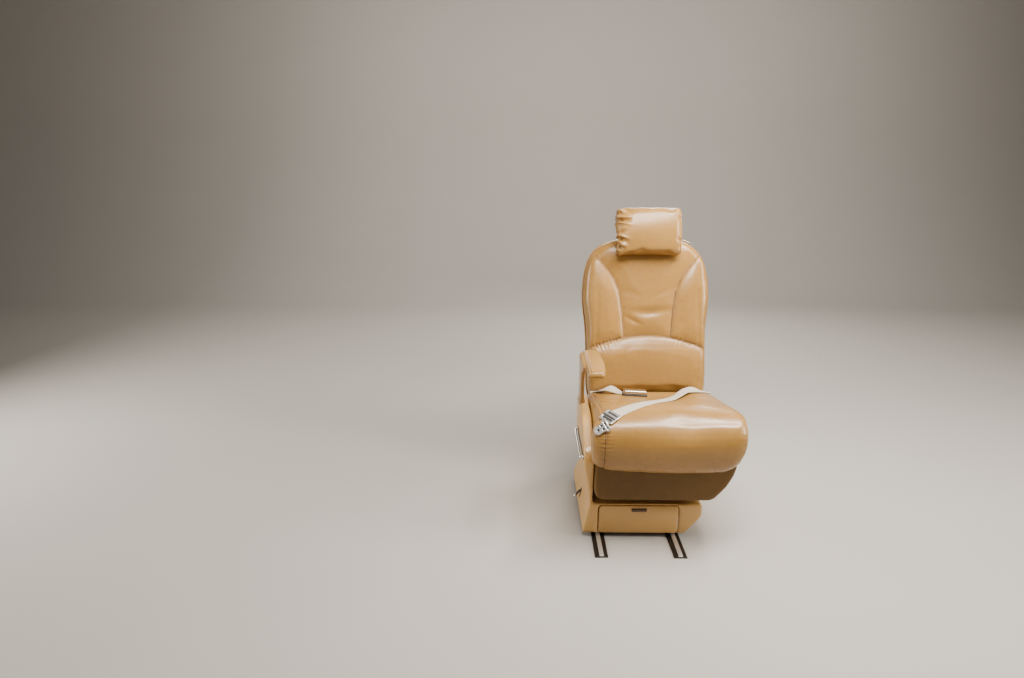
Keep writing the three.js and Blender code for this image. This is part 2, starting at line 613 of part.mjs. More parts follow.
// Belt anchors: tabs that stand on the pan behind the cushion.
const ANCHOR = { x: 204, half: 20, y0: 172, y1: 178, height: 44 };
const anchor = (x) => box(x - ANCHOR.half, x + ANCHOR.half, ANCHOR.y0, ANCHOR.y1,
  PAN.top + GAP, PAN.top + ANCHOR.height);
place(seat, 'belt_anchor_aisle', anchor(-ANCHOR.x), CHROME);
place(seat, 'belt_anchor_wall', anchor(ANCHOR.x), CHROME);

export default part;
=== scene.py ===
# Looks of the business jet passenger seat: leather upholstery, belts, trim, camera and light.
import json
import math

import bpy
import numpy as np
from mathutils import Matrix, Vector
from mathutils.bvhtree import BVHTree


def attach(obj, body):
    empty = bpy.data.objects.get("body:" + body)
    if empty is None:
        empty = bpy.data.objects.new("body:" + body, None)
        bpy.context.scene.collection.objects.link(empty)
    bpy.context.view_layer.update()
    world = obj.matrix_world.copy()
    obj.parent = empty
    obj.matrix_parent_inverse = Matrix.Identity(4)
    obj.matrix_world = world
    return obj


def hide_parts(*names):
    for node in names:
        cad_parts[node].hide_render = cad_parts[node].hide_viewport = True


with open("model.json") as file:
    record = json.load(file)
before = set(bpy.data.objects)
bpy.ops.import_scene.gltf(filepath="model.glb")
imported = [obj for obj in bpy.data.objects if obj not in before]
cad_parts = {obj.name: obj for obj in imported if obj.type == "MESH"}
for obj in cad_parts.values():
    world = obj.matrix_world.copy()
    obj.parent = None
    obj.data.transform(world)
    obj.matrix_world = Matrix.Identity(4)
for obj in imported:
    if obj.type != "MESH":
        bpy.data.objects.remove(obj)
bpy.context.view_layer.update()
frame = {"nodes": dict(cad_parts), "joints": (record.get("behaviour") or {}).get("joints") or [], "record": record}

MM = 0.001
TINY = 1e-12
NODES = frame["nodes"]
JOINTS = {joint["name"]: joint for joint in frame["joints"]}
HINGE = Vector(JOINTS["recline"]["pos_m"])
UP_BACK = Vector(JOINTS["headrest_slide"]["axis"])
RECLINE = math.atan2(UP_BACK.y, UP_BACK.z)
HINGE_Y, RAIL_HEIGHT, BACK_X = 213, 12, -9
# SEAT takes millimetres in the seat's own frame to the part's metres; BACK does so for the upright back,
# measured from the hinge.
SEAT_AT = Vector((HINGE.x, HINGE.y - HINGE_Y * MM, RAIL_HEIGHT * MM))
SEAT = Matrix.Translation(SEAT_AT) @ Matrix.Scale(MM, 4)
BACK_AT = Vector((HINGE.x + BACK_X * MM, HINGE.y, HINGE.z))
BACK = Matrix.Translation(BACK_AT) @ Matrix.Rotation(-RECLINE, 4, "X") @ Matrix.Scale(MM, 4)

# Camera: the photograph is 1024 pixels wide and was taken with a focal length of 670 pixels.
IMAGE_WIDTH = 1024
FOCAL_PIXELS = 670
SENSOR_MM = 36
CAMERA_AT = Vector((-488, -2263, 1288))
PITCH_DOWN = math.radians(15.9)
YAW_LEFT = math.radians(1.0)


def linked(name, data):
    """A new object in the scene."""
    obj = bpy.data.objects.new(name, data)
    bpy.context.scene.collection.objects.link(obj)
    return obj


def make_camera():
    data = bpy.data.cameras.new("camera")
    data.sensor_width = SENSOR_MM
    data.lens = FOCAL_PIXELS / IMAGE_WIDTH * SENSOR_MM
    camera = linked("camera", data)
    camera.location = SEAT @ CAMERA_AT
    camera.rotation_euler = (math.pi / 2 - PITCH_DOWN, 0, YAW_LEFT)
    bpy.context.scene.camera = camera


def area_light(name, place, aim, size, power, colour):
    data = bpy.data.lights.new(name, "AREA")
    data.shape = "RECTANGLE"
    data.size, data.size_y = size
    data.energy = power
    data.color = colour
    light = linked(name, data)
    light.location = place
    light.rotation_euler = (Vector(aim) - Vector(place)).to_track_quat("-Z", "Y").to_euler()


def make_light():
    world = bpy.data.worlds.new("world")
    world.use_nodes = True
    background = world.node_tree.nodes["Background"]
    background.inputs["Color"].default_value = (1, 0.95, 0.88, 1)
    background.inputs["Strength"].default_value = 0.12
    bpy.context.scene.world = world
    area_light("ceiling", (0.1, -0.2, 2.35), (0, 0, 0.4), (1.5, 1.8), 5, (1, 0.95, 0.88))
    area_light("strip_rear", (0.75, -0.06, 1.95), (0.2, 0, 0.5), (0.9, 0.08), 12, (1, 0.98, 0.95))
    area_light("strip_front", (0.3, -0.5, 2.05), (0.1, -0.25, 0.45), (1.8, 0.36), 90, (1, 0.96, 0.9))
    area_light("window_wall", (3.0, -0.9, 2.0), (0.1, 0.1, 0.6), (0.9, 1.8), 120, (1, 0.98, 0.95))
    area_light("window_aisle", (-3.4, 0.2, 1.4), (-0.1, 0, 0.5), (1.2, 1.6), 85, (1, 0.97, 0.93))
    area_light("window_front", (-2.0, -1.8, 1.6), (-0.1, 0.1, 0.8), (0.5, 1.2), 6, (1, 0.97, 0.93))
    area_light("backdrop", (0, 2.2, 2.8), (0, 5, 0.9), (5, 0.6), 90, (1, 0.98, 0.95))
    area_light("rear_fill", (0.5, 2.9, 1.8), (0, 0.1, 0.6), (1.8, 1.2), 40, (1, 0.97, 0.94))


# Meshes


def new_object(name, points, faces):
    mesh = bpy.data.meshes.new(name)
    mesh.from_pydata([tuple(point) for point in points], [], faces)
    mesh.validate()
    mesh.shade_smooth()
    return linked(name, mesh)


def evaluated(obj):
    """The object with its modifiers at work."""
    return obj.evaluated_get(bpy.context.evaluated_depsgraph_get())


def bake(obj):
    """Applies the object's modifiers."""
    old = obj.data
    obj.data = bpy.data.meshes.new_from_object(evaluated(obj))
    obj.modifiers.clear()
    obj.data.name = obj.name
    bpy.data.meshes.remove(old)


def read(obj, kind="co"):
    values = np.empty(len(obj.data.vertices) * 3)
    obj.data.vertices.foreach_get(kind, values)
    return values.reshape(-1, 3)


def write(obj, points):
    obj.data.vertices.foreach_set("co", points.ravel())
    obj.data.update()


def placed(points, matrix):
    """Points in millimetres to the part's metres."""
    points = np.asarray(points, dtype=float)
    turn = np.array(matrix.to_3x3())
    return points @ turn.T + np.array(matrix.translation)


def measured(points, matrix):
    """The part's metres back to a local frame's millimetres."""
    return placed(points, matrix.inverted())


def remesh(obj, voxel, times):
    """Gives the object an even mesh with edges of so many millimetres, and rounds it off."""
    modifier = obj.modifiers.new("remesh", "REMESH")
    modifier.mode = "VOXEL"
    modifier.voxel_size = voxel * MM
    bake(obj)
    obj.data.shade_smooth()
    modifier = obj.modifiers.new("smooth", "SMOOTH")
    modifier.iterations = times
    bake(obj)


def subdivide(obj):
    modifier = obj.modifiers.new("subdivide", "SUBSURF")
    modifier.levels = 1
    bake(obj)


def merged(name, parts):
    """One new object from several lists of points and faces."""
    points, faces = [], []
    for more_points, more_faces in parts:
        start = len(points)
        points += more_points
        faces += [[start + index for index in face] for face in more_faces]
    return new_object(name, points, faces)


def joined(name, sources):
    """One new object from copies of others."""
    parts = []
    for source in sources:
        points = [source.matrix_world @ vertex.co for vertex in source.data.vertices]
        parts.append((points, [face.vertices for face in source.data.polygons]))
    return merged(name, parts)


def skin_faces(rings, sides, closed=False):
    """Faces over rings of points: with a cap at either end, or closed in a loop."""
    faces = []
    for i in range(rings if closed else rings - 1):
        for k in range(sides):
            here, there = i * sides, (i + 1) % rings * sides
            after = (k + 1) % sides
            faces.append((here + k, here + after, there + after, there + k))
    if not closed:
        faces.append(tuple(reversed(range(sides))))
        faces.append(tuple(range((rings - 1) * sides, rings * sides)))
    return faces


def loft(name, rings, matrix):
    """A closed skin over rings of equal point count, in local millimetres."""
    points = [point for ring in rings for point in ring]
    return new_object(name, placed(points, matrix), skin_faces(len(rings), len(rings[0])))


# Curves and distances


def unit(vectors):
    return vectors / (np.linalg.norm(vectors, axis=-1, keepdims=True) + TINY)


def travelled(points):
    """How far along the polyline each of its points lies."""
    steps = np.linalg.norm(np.diff(points, axis=0), axis=-1)
    return np.concatenate([np.zeros_like(steps[:1]), np.cumsum(steps, axis=0)])


def resampled(points, step):
    """The polyline's points at an even step."""
    points = np.asarray(points, dtype=float)
    along = travelled(points)
    count = max(int(round(along[-1] / step)), 2) + 1
    at = np.linspace(0, along[-1], count)
    return np.stack([np.interp(at, along, points[:, k]) for k in range(3)], axis=1)


def curved(points, parts=8):
    """A Catmull-Rom curve through the points."""
    points = np.asarray(points, dtype=float)
    ends = np.vstack([2 * points[0] - points[1], points, 2 * points[-1] - points[-2]])
    out = []
    for i in range(len(points) - 1):
        p0, p1, p2, p3 = ends[i:i + 4]
        for t in np.arange(parts) / parts:
            out.append(0.5 * (2 * p1 + (p2 - p0) * t + (2 * p0 - 5 * p1 + 4 * p2 - p3) * t ** 2
                              + (3 * p1 - p0 - 3 * p2 + p3) * t ** 3))
    out.append(points[-1])
    return np.array(out)


def nearest_on(points, curve):
    """Distance from each point to the nearest of the curve's points, and which one that is."""
    gap, index = np.empty(len(points)), np.empty(len(points), dtype=int)
    block_size = 4000
    for start in range(0, len(points), block_size):
        block = slice(start, start + block_size)
        gaps = ((points[block][:, None, :] - curve[None]) ** 2).sum(axis=2)
        index[block] = gaps.argmin(axis=1)
        gap[block] = np.sqrt(gaps.min(axis=1))
    return gap, index


def distance_to(points, curves):
    return nearest_on(points, np.vstack(curves))[0]


def rounded_ring(corners, step=4, times=10):
    """A closed outline of (y, z) corners as even points, with its corners softened."""
    corners = np.array([(0, y, z) for y, z in corners], dtype=float)
    ring = resampled(np.vstack([corners, corners[:1]]), step)[:-1]
    for _ in range(times):
        ring = (np.roll(ring, 1, axis=0) + 2 * ring + np.roll(ring, -1, axis=0)) / 4
    return ring


def drawn_in(ring, inset):
    """The ring in the (y, z) plane moved inwards."""
    along = unit(np.roll(ring, -1, axis=0) - np.roll(ring, 1, axis=0))
    area = (ring[:, 1] * np.roll(ring[:, 2], -1) - np.roll(ring[:, 1], -1) * ring[:, 2]).sum()
    inwards = np.stack([along[:, 0], -along[:, 2], along[:, 1]], axis=1) * np.sign(area)
    return ring + inwards * inset


def pillow(name, side, stations, matrix):
    """A closed form between two ends: its side outline, drawn in by an inset at each station x."""
    rings = [drawn_in(side, inset) + (x, 0, 0) for x, inset in stations]
    return loft(name, rings, matrix)


def gather(obj, seam, height, wave, reach, amount):
    """Small puckers that run out from a seam, where the amount along it is above zero."""
    points, normals = read(obj), read(obj, "normal")
    gap, index = nearest_on(points, seam)
    along = travelled(seam)[index]
    waver = 1.9 * np.sin(along / (2.7 * wave)) + 1.1 * np.sin(along / (1.3 * wave))
    phase = 2 * math.pi * along / wave + waver
    size = height * np.exp(-(gap / reach) ** 1.5) * amount[index]
    write(obj, points + normals * (size * np.sin(phase))[:, None])


def fold_in(obj, matrix, folds, front):
    """Presses folds into the face before a local depth. Each is deepest at its first (x, z) end."""
    points, normals = read(obj), read(obj, "normal")
    local = measured(points, matrix)
    size = np.zeros(len(points))
    for first, last, depth, width in folds:
        run = np.subtract(last, first)
        length = np.linalg.norm(run)
        away = local[:, [0, 2]] - first
        part = away @ run / length ** 2
        aside = np.abs(away @ (-run[1], run[0])) / length / (width * (1 + 0.9 * np.clip(part, 0, 1)))
        fade = soften((1 - part) / 0.95) * soften((part + 0.12) / 0.12)
        size += depth * fade * (hump(aside, 0, 1) - 0.55 * hump(aside, 1.7, 0.8))
    size *= soften((front - local[:, 1]) / 20)
    write(obj, points - normals * size[:, None] * MM)


def tree_of(obj):
    return BVHTree.FromPolygons([vertex.co for vertex in obj.data.vertices],
                                [face.vertices for face in obj.data.polygons])


def laid_on(tree, curve, lift=0.0):
    """The curve's points moved onto the surface, with the surface's normals."""
    points, normals = [], []
    for point in curve:
        place, normal, _, _ = tree.find_nearest(Vector(point))
        points.append(place + normal * lift)
        normals.append(normal)
    return np.array(points), np.array(normals)


def soften(values):
    """A smooth step from 0 to 1."""
    values = np.clip(values, 0, 1)
    return values * values * (3 - 2 * values)


def hump(values, middle, width):
    """A bell curve, 1 at its middle."""
    return np.exp(-((values - middle) / width) ** 2)


def dome(values, middle, half):
    """A parabola, 1 at its middle and 0 from its half width outwards."""
    return np.clip(1 - ((values - middle) / half) ** 2, 0, 1)


def creased(x, across, creases):
    """How deep creases are at each (x, across). A crease is given by its depth, its place at x 0 and how that
    changes with x, its width, and the middle and half length of its run in x."""
    return sum(depth * hump(across, start + change * x, width) * hump(x, middle, half)
               for depth, start, change, width, middle, half in creases)


# Sewing


def tube(curve, radius, sides, closed=False):
    """Points and faces of a tube along a curve."""
    if closed:
        tangents = np.roll(curve, -1, axis=0) - np.roll(curve, 1, axis=0)
    else:
        tangents = np.gradient(curve, axis=0)
    tangents = unit(tangents)
    side = np.cross(tangents[0], (0.3, 0.5, 0.8))
    points = []
    for i in range(len(curve)):
        side = side - tangents[i] * side.dot(tangents[i])
        side /= np.linalg.norm(side)
        up = np.cross(tangents[i], side)
        size = radius[i] if np.ndim(radius) else radius
        for k in range(sides):
            angle = 2 * math.pi * k / sides
            points.append(curve[i] + (side * math.cos(angle) + up * math.sin(angle)) * size)
    return points, skin_faces(len(curve), sides, closed)


STITCH = 5.5 * MM
THREAD = 0.45 * MM
# A stitch's path: how far along it, and how far above the leather.
STITCH_PATH = [(0.1, -0.4 * MM), (0.3, 0.35 * MM), (0.7, 0.35 * MM), (0.9, -0.4 * MM)]


def stitches_on(tree, curve, offset):
    """One row of stitches beside a seam: short tubes that dip into the leather at both ends."""
    points, normals = laid_on(tree, resampled(curve, STITCH))
    along = unit(np.gradient(points, axis=0))
    points, normals = laid_on(tree, points + np.cross(along, normals) * offset)
    rows = []
    for start, end, out in zip(points, points[1:], normals):
        path = [start * (1 - part) + end * part + out * lift for part, lift in STITCH_PATH]
        rows.append(tube(np.array(path), THREAD, sides=5))
    return rows


def sew(name, obj, seams, body, offsets=(-4 * MM, 4 * MM)):
    """Rows of stitches along seams on the object's surface."""
    tree = tree_of(obj)
    rows = []
    for seam in seams:
        for offset in offsets:
            rows += stitches_on(tree, seam, offset)
    finish_piece(merged(name, rows), body, "leather", material=THREAD_TAN)


def piping(name, obj, curves, radius, body):
    """A round cord sewn into the leather's edge."""
    tree = tree_of(obj)
    cords = [laid_on(tree, resampled(curve, 5 * MM), radius * 0.35)[0] for curve in curves]
    finish_piece(merged(name, [tube(points, radius, sides=10) for points in cords]), body, "leather")


def press_seams(obj, seams, depth, width):
    """Presses the seams into the surface and marks them for the painted shade in the leather's colour."""
    points, normals = read(obj), read(obj, "normal")
    gap = distance_to(points, seams)
    write(obj, points - normals * (depth * hump(gap, 0, width))[:, None])
    # This mark darkens the leather's colour along the seams: painted shade in the grooves.
    mark(obj, "seam", hump(gap, 0, 2.5 * MM))


def mark(obj, name, values):
    """Keeps a number at each vertex for the material."""
    attribute = obj.data.attributes.get(name) or obj.data.attributes.new(name, "FLOAT", "POINT")
    attribute.data.foreach_set("value", np.asarray(values, dtype=np.float32))


# Cloth


def eased(values, obj, times):
    """Evens out a vector at each vertex with its neighbours'."""
    edges = np.empty(len(obj.data.edges) * 2, dtype=int)
    obj.data.edges.foreach_get("vertices", edges)
    first, second = edges.reshape(-1, 2).T
    count = len(values)
    share = np.bincount(first, minlength=count) + np.bincount(second, minlength=count)
    for _ in range(times):
        near = [np.bincount(first, values[second, k], count) + np.bincount(second, values[first, k], count)
                for k in range(3)]
        values = (values + np.stack(near, axis=1) / share[:, None]) / 2
    return values


CLOTH_FRAMES = 20


def puff(obj, held, pressure, cap, shrink, ease):
    """Fills the leather with pressure while the held points stay, then limits how far any point moved."""
    before = read(obj)
    group = obj.vertex_groups.new(name="held")
    for level in np.unique(np.round(held[held > 0.05], 1)):
        chosen = np.nonzero(np.round(held, 1) == level)[0]
        group.add([int(index) for index in chosen], float(level), "REPLACE")
    cloth = obj.modifiers.new("cloth", "CLOTH")
    settings = cloth.settings
    settings.quality = 6
    settings.mass = 0.3
    settings.tension_stiffness = 25
    settings.compression_stiffness = 25
    settings.shear_stiffness = 10
    settings.bending_stiffness = 1.5
    settings.use_pressure = True
    settings.uniform_pressure_force = pressure
    settings.shrink_min = shrink
    settings.vertex_group_mass = "held"
    settings.effector_weights.gravity = 0
    cloth.collision_settings.use_collision = False
    cloth.point_cache.frame_start = 1
    cloth.point_cache.frame_end = CLOTH_FRAMES
    for number in range(1, CLOTH_FRAMES + 1):
        bpy.context.scene.frame_set(number)
    after = read(evaluated(obj))
    obj.modifiers.clear()
    bpy.context.scene.frame_set(1)
    obj.vertex_groups.clear()
    moved = eased(after - before, obj, ease)
    size = np.linalg.norm(moved, axis=1)
    write(obj, before + moved * (np.minimum(size, cap) / np.maximum(size, TINY))[:, None])


# Materials


# Places of the amount and the two colours among the Mix node's inputs.
MIX_SOCKETS = (0, 6, 7)


class Nodes:
    """Short names for building a material's nodes."""

    def __init__(self, name):
        self.material = bpy.data.materials.new(name)
        self.material.use_nodes = True
        self.tree = self.material.node_tree
        self.shader = self.tree.nodes["Principled BSDF"]

    def put(self, value, socket):
        """Links a node's output to the socket, or sets a number or colour on it."""
        if hasattr(value, "is_output"):
            self.tree.links.new(value, socket)
        else:
            socket.default_value = value

    def add(self, kind, **inputs):
        node = self.tree.nodes.new("ShaderNode" + kind)
        for key, value in inputs.items():
            name = key.replace("_", " ")
            if name in node.inputs:
                self.put(value, node.inputs[name])
            else:
                setattr(node, key, value)
        return node

    def where(self):
        return self.add("TexCoord").outputs["Object"]

    def noise(self, scale, detail=2.0, at=None, roughness=0.5):
        at = at or self.where()
        node = self.add("TexNoise", Scale=scale, Detail=detail, Roughness=roughness, Vector=at)
        return node.outputs["Fac"]

    def mapped(self, value, low, high, to_low=0.0, to_high=1.0):
        limits = {"From_Min": low, "From_Max": high, "To_Min": to_low, "To_Max": to_high}
        return self.add("MapRange", Value=value, **limits).outputs["Result"]

    def mix(self, amount, first, second):
        """Blends two colours, which are given as three numbers or as a node's output."""
        node = self.add("Mix", data_type="RGBA")
        colours = [value if hasattr(value, "is_output") else (*value, 1) for value in (first, second)]
        for value, socket in zip((amount, *colours), MIX_SOCKETS):
            self.put(value, node.inputs[socket])
        return node.outputs[2]

    def math(self, operation, first, second):
        node = self.add("Math", operation=operation)
        self.put(first, node.inputs[0])
        self.put(second, node.inputs[1])
        return node.outputs[0]

    def attribute(self, name):
        return self.add("Attribute", attribute_name=name).outputs["Fac"]

    def bump(self, height, strength, distance, below=None):
        node = self.add("Bump", Height=height, Strength=strength, Distance=distance)
        if below:
            self.put(below, node.inputs["Normal"])
        return node.outputs["Normal"]

    def finish(self, **inputs):
        for key, value in inputs.items():
            self.put(value, self.shader.inputs[key.replace("_", " ")])
        return self.material


def shade(colour, factor):
    return tuple(value * factor for value in colour)


def leather(name, base, dark, roughness=0.3, coat=0.25, specular=0.35):
    """Dyed hide: fine grain, soft creases, uneven dye, and painted shade darkening the seams."""
    nodes = Nodes(name)
    patches = nodes.mapped(nodes.noise(5, 3), 0.3, 0.7)
    flecks = nodes.mapped(nodes.noise(55, 4), 0.35, 0.75)
    colour = nodes.mix(patches, shade(base, 0.93), shade(base, 1.1))
    colour = nodes.mix(nodes.math("MULTIPLY", flecks, 0.16), colour, dark)
    # Painted shade: the colour darkens towards the dark tan along the seams, in place of the shade in their
    # grooves.
    colour = nodes.mix(nodes.math("MULTIPLY", nodes.attribute("seam"), 0.9), colour, dark)
    cells = nodes.add("TexVoronoi", Scale=620.0, feature="F1", Vector=nodes.where())
    grain = nodes.math("ADD", cells.outputs["Distance"], nodes.noise(1500, 2))
    creases = nodes.noise(38, 5, roughness=0.65)
    normal = nodes.bump(creases, 0.12, 0.002)
    normal = nodes.bump(grain, 0.16, 0.0004, normal)
    rough = nodes.mapped(nodes.noise(14, 4), 0.3, 0.7, roughness - 0.05, roughness + 0.08)
    rough = nodes.math("ADD", rough, nodes.math("MULTIPLY", nodes.attribute("seam"), 0.25))
    return nodes.finish(Base_Color=colour, Roughness=rough, Normal=normal, Coat_Weight=coat,
                        Coat_Roughness=0.2, Specular_IOR_Level=specular)


def moulded(name, base):
    """Painted moulding: satin, with a faint orange peel."""
    nodes = Nodes(name)
    colour = nodes.mix(nodes.mapped(nodes.noise(7, 3), 0.3, 0.7), shade(base, 0.95), base)
    rough = nodes.mapped(nodes.noise(30, 4), 0.3, 0.7, 0.34, 0.44)
    normal = nodes.bump(nodes.noise(420, 2), 0.06, 0.0005)
    return nodes.finish(Base_Color=colour, Roughness=rough, Normal=normal, Coat_Weight=0.15)


def matt(name, base):
    """Matt paint, faintly uneven."""
    nodes = Nodes(name)
    colour = nodes.mix(nodes.noise(3, 3), shade(base, 0.96), base)
    return nodes.finish(Base_Color=colour, Roughness=0.85, Specular_IOR_Level=0.15)


def metal(name, base, low, high, scratch, painted_shade_foot=None):
    """Metal with smudges in its gloss and fine scratches along one way, and a darker foot near the floor, which is
    painted shade.
    """
    nodes = Nodes(name)
    colour = (*base, 1)
    if painted_shade_foot:
        # Painted shade: below about 7 mm the colour turns to the dark foot colour.
        height = nodes.add("SeparateXYZ", Vector=nodes.where()).outputs["Z"]
        colour = nodes.mix(nodes.mapped(height, 0.0062, 0.0072), painted_shade_foot, base)
    rough = nodes.mapped(nodes.noise(45, 5), 0.3, 0.75, low, high)
    stretched = nodes.add("Mapping", Vector=nodes.where())
    stretched.inputs["Scale"].default_value = (900, 25, 900)
    normal = nodes.bump(nodes.noise(1.0, 3, stretched.outputs["Vector"]), scratch, 0.0003)
    return nodes.finish(Base_Color=colour, Metallic=1.0, Roughness=rough, Normal=normal)


def plastic(name, base):
    """Matt plastic with a fine spark texture."""
    nodes = Nodes(name)
    colour = nodes.mix(nodes.noise(30, 3), base, shade(base, 1.5))
    normal = nodes.bump(nodes.noise(900, 2), 0.25, 0.0004)
    return nodes.finish(Base_Color=colour, Roughness=0.55, Normal=normal)


def woven(name, base, dark):
    """Webbing: ribs across the strap and twill along it, from the strap's own measures."""
    nodes = Nodes(name)
    along, across = nodes.attribute("along"), nodes.attribute("across")
    ribs = nodes.math("SINE", nodes.math("MULTIPLY", across, 2 * math.pi / 0.0016), 0)
    weft = nodes.math("SINE", nodes.math("ADD", nodes.math("MULTIPLY", along, 2 * math.pi / 0.0022),
                                         nodes.math("MULTIPLY", ribs, 1.2)), 0)
    height = nodes.math("MULTIPLY", nodes.math("ADD", ribs, weft), 0.5)
    colour = nodes.mix(nodes.mapped(height, -1, 1), dark, base)
    colour = nodes.mix(nodes.math("MULTIPLY", nodes.noise(60, 3), 0.25), colour, dark)
    normal = nodes.bump(height, 0.5, 0.0004)
    return nodes.finish(Base_Color=colour, Roughness=0.8, Normal=normal, Sheen_Weight=0.2)


TAN = (0.32, 0.164, 0.038)
# The leather's dark flecks, and the painted shade along its seams, blend towards this colour.
TAN_DARK = (0.11, 0.045, 0.01)
LEATHER = leather("leather", TAN, TAN_DARK)
# A darker copy of the leather for the pan: painted shade under the cushion's overhang.
PAN_LEATHER_PAINTED_SHADE = leather("pan_leather_painted_shade", (0.135, 0.07, 0.015), (0.04, 0.018, 0.005), 0.42, 0.05, 0.2)
TRIM = moulded("moulded_trim", (0.58, 0.32, 0.09))
CHROME = metal("polished_metal", (0.82, 0.81, 0.79), 0.06, 0.16, 0.03)
ALLOY = metal("frame_metal", (0.5, 0.51, 0.52), 0.32, 0.48, 0.12)
# The rails' metal turns dark at its foot: painted shade at the floor.
RAIL_METAL = metal("rail_metal", (0.93, 0.92, 0.9), 0.4, 0.52, 0.08, (0.07, 0.062, 0.055))
BUCKLE_METAL = metal("buckle_metal", (0.62, 0.54, 0.44), 0.16, 0.28, 0.05)
BRONZE = metal("bronze", (0.4, 0.28, 0.16), 0.24, 0.36, 0.05)
BELT_METAL = metal("belt_metal", (0.84, 0.81, 0.76), 0.24, 0.36, 0.05)
DARK = plastic("dark_plastic", (0.022, 0.019, 0.017))
WEBBING = woven("webbing", (0.66, 0.56, 0.44), (0.42, 0.34, 0.25))
BROWN = plastic("brown_plastic", (0.075, 0.04, 0.018))
THREAD_TAN = plastic("thread", (0.5, 0.29, 0.1))
BY_SLOT = {"leather": LEATHER, "moulded_trim": TRIM, "polished_metal": CHROME, "frame_metal": ALLOY,
           "dark_plastic": DARK, "webbing": WEBBING}
BY_NODE = {"rail_aisle": RAIL_METAL, "rail_wall": RAIL_METAL, "drawer_pull": BROWN}


def dress_frame():
    """Gives every CAD node its material."""
    for part in frame["record"]["subparts"]:
        mesh = NODES[part["node"]].data
        mesh.materials.clear()
        mesh.materials.append(BY_NODE.get(part["node"], BY_SLOT[part["material_slot"]]))


def make_floor():
    """A pale floor that sweeps up behind the seat."""
    wide, front, rear, sweep, tall = 16, -16, 3.2, 1.6, 5
    bend = [(rear + sweep * math.sin(a), sweep * (1 - math.cos(a))) for a in np.linspace(0, math.pi / 2, 17)]
    profile = [(front, 0), *bend, (rear + sweep, tall)]
    points = [(x, y, z) for y, z in profile for x in (-wide, wide)]
    faces = [(2 * i, 2 * i + 1, 2 * i + 3, 2 * i + 2) for i in range(len(profile) - 1)]
    floor = new_object("floor", points, faces)
    floor.data.materials.append(matt("floor", (0.43, 0.395, 0.35)))


def finish_piece(obj, body, slot, replaced=(), material=None):
    """Says what a piece rides on, what it stands for and what it is made of."""
    obj.data.materials.clear()
    obj.data.materials.append(material or BY_SLOT[slot])
    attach(obj, body)
    if replaced:
        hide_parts(*replaced)


# Back: outline and seams in the back's own millimetres, as (half width, height above the hinge).

BACK_LOW, BACK_HIGH, BACK_HALF_WIDTH = 18, 643, 245
BACK_HALF = [(222, BACK_LOW), (229, 65), (230, 160), (231, 235), (235, 300), (241, 350), (245, 400),
             (243, 452), (236, 505), (222, 550), (196, 590), (152, 619), (90, 637), (0, BACK_HIGH)]
SEAM_HALF = [(90, 244), (92, 262), (97, 325), (105, 390), (112, 428), (128, 467), (150, 504), (180, 541),
             (208, 573), (222, 592)]
ARC = {"middle": 251, "drop": 0.00101, "end": 226}
FRONT = -40
OUTLINE_POINTS = 160
# The rings of the two covers: inset from the back's outline, and depth.
FRONT_RINGS = [(2, 9.5), (0, 4), (0, -8), (4, -22), (12, -33), (24, FRONT)]
REAR_RINGS = [(2, 10.4), (0, 16), (0, 52), (2, 68), (8, 81), (18, 90), (32, 94), (46, 95)]
# Creases of the centre panel, laid out as creased() reads them.
BACK_CREASES = [(3.5, 286, -0.45, 9, -52, 30), (2.5, 390, 0.5, 14, 62, 42)]


def back_outline(inset):
    """The back's outline, drawn in from its edge, as an even closed ring of (x, z)."""
    half = curved([(x, 0, z) for x, z in BACK_HALF], 6)
    left = half[:-1] * (-1, 1, 1)
    whole = np.vstack([half, left[::-1]])
    ring = resampled(np.vstack([whole, whole[:1]]), travelled(whole)[-1] / OUTLINE_POINTS)[:-1]
    middle = (BACK_LOW + BACK_HIGH) / 2
    ring[:, 0] *= 1 - inset / BACK_HALF_WIDTH
    ring[:, 2] = middle + (ring[:, 2] - middle) * (1 - 2 * inset / (BACK_HIGH - BACK_LOW))
    return ring


def at_depth(ring, y):
    ring = ring.copy()
    ring[:, 1] = y
    return ring


def back_form(name, rings):
    return loft(name, [at_depth(back_outline(inset), y) for inset, y in rings], BACK)


def arc_height(x):
    return ARC["middle"] - ARC["drop"] * x ** 2


def back_seams():
    """The three seams of the back's front, as curves in local millimetres at the front face."""
    right = resampled(curved([(x, FRONT, z) for x, z in SEAM_HALF]), 2)
    left = right * (-1, 1, 1)
    x = np.linspace(-ARC["end"], ARC["end"], 240)
    arc = np.stack([x, np.full_like(x, FRONT), arc_height(x)], axis=1)
    return [left, right, arc]


def back_front(x, z):
    """How far the front stands out from the centre panel's plane, at each (x, z)."""
    panel_change, seam_fade = 8, 13
    gap = distance_to(np.stack([x, np.full_like(x, FRONT), z], axis=1), back_seams())
    seam_x = np.interp(z, [p[1] for p in SEAM_HALF], [p[0] for p in SEAM_HALF])
    lumbar = soften((arc_height(x) - z) / panel_change + 0.5)
    bolster = soften((np.abs(x) - seam_x) / panel_change + 0.5) * (1 - lumbar)
    centre = (1 - lumbar) * (1 - bolster)
    edge = 1 - np.exp(-gap / seam_fade)
    out = bolster * (9 * edge + 3)
    out += lumbar * (3 + edge * (5 + 10 * hump(z, 150, 95) * (1 - (x / 300) ** 2)))
    out += centre * edge * (2.5 + 3 * np.cos(x / 100))
    fold = hump(z, 352 - 10 * np.cos(x / 60), 17) * hump(x, 12, 75)
    out -= centre * (7.5 * fold + creased(x, z, BACK_CREASES))
    out -= bolster * 3 * hump(np.abs(x), 196 - 0.02 * (z - 300), 9) * soften((520 - z) / 120)
    return out


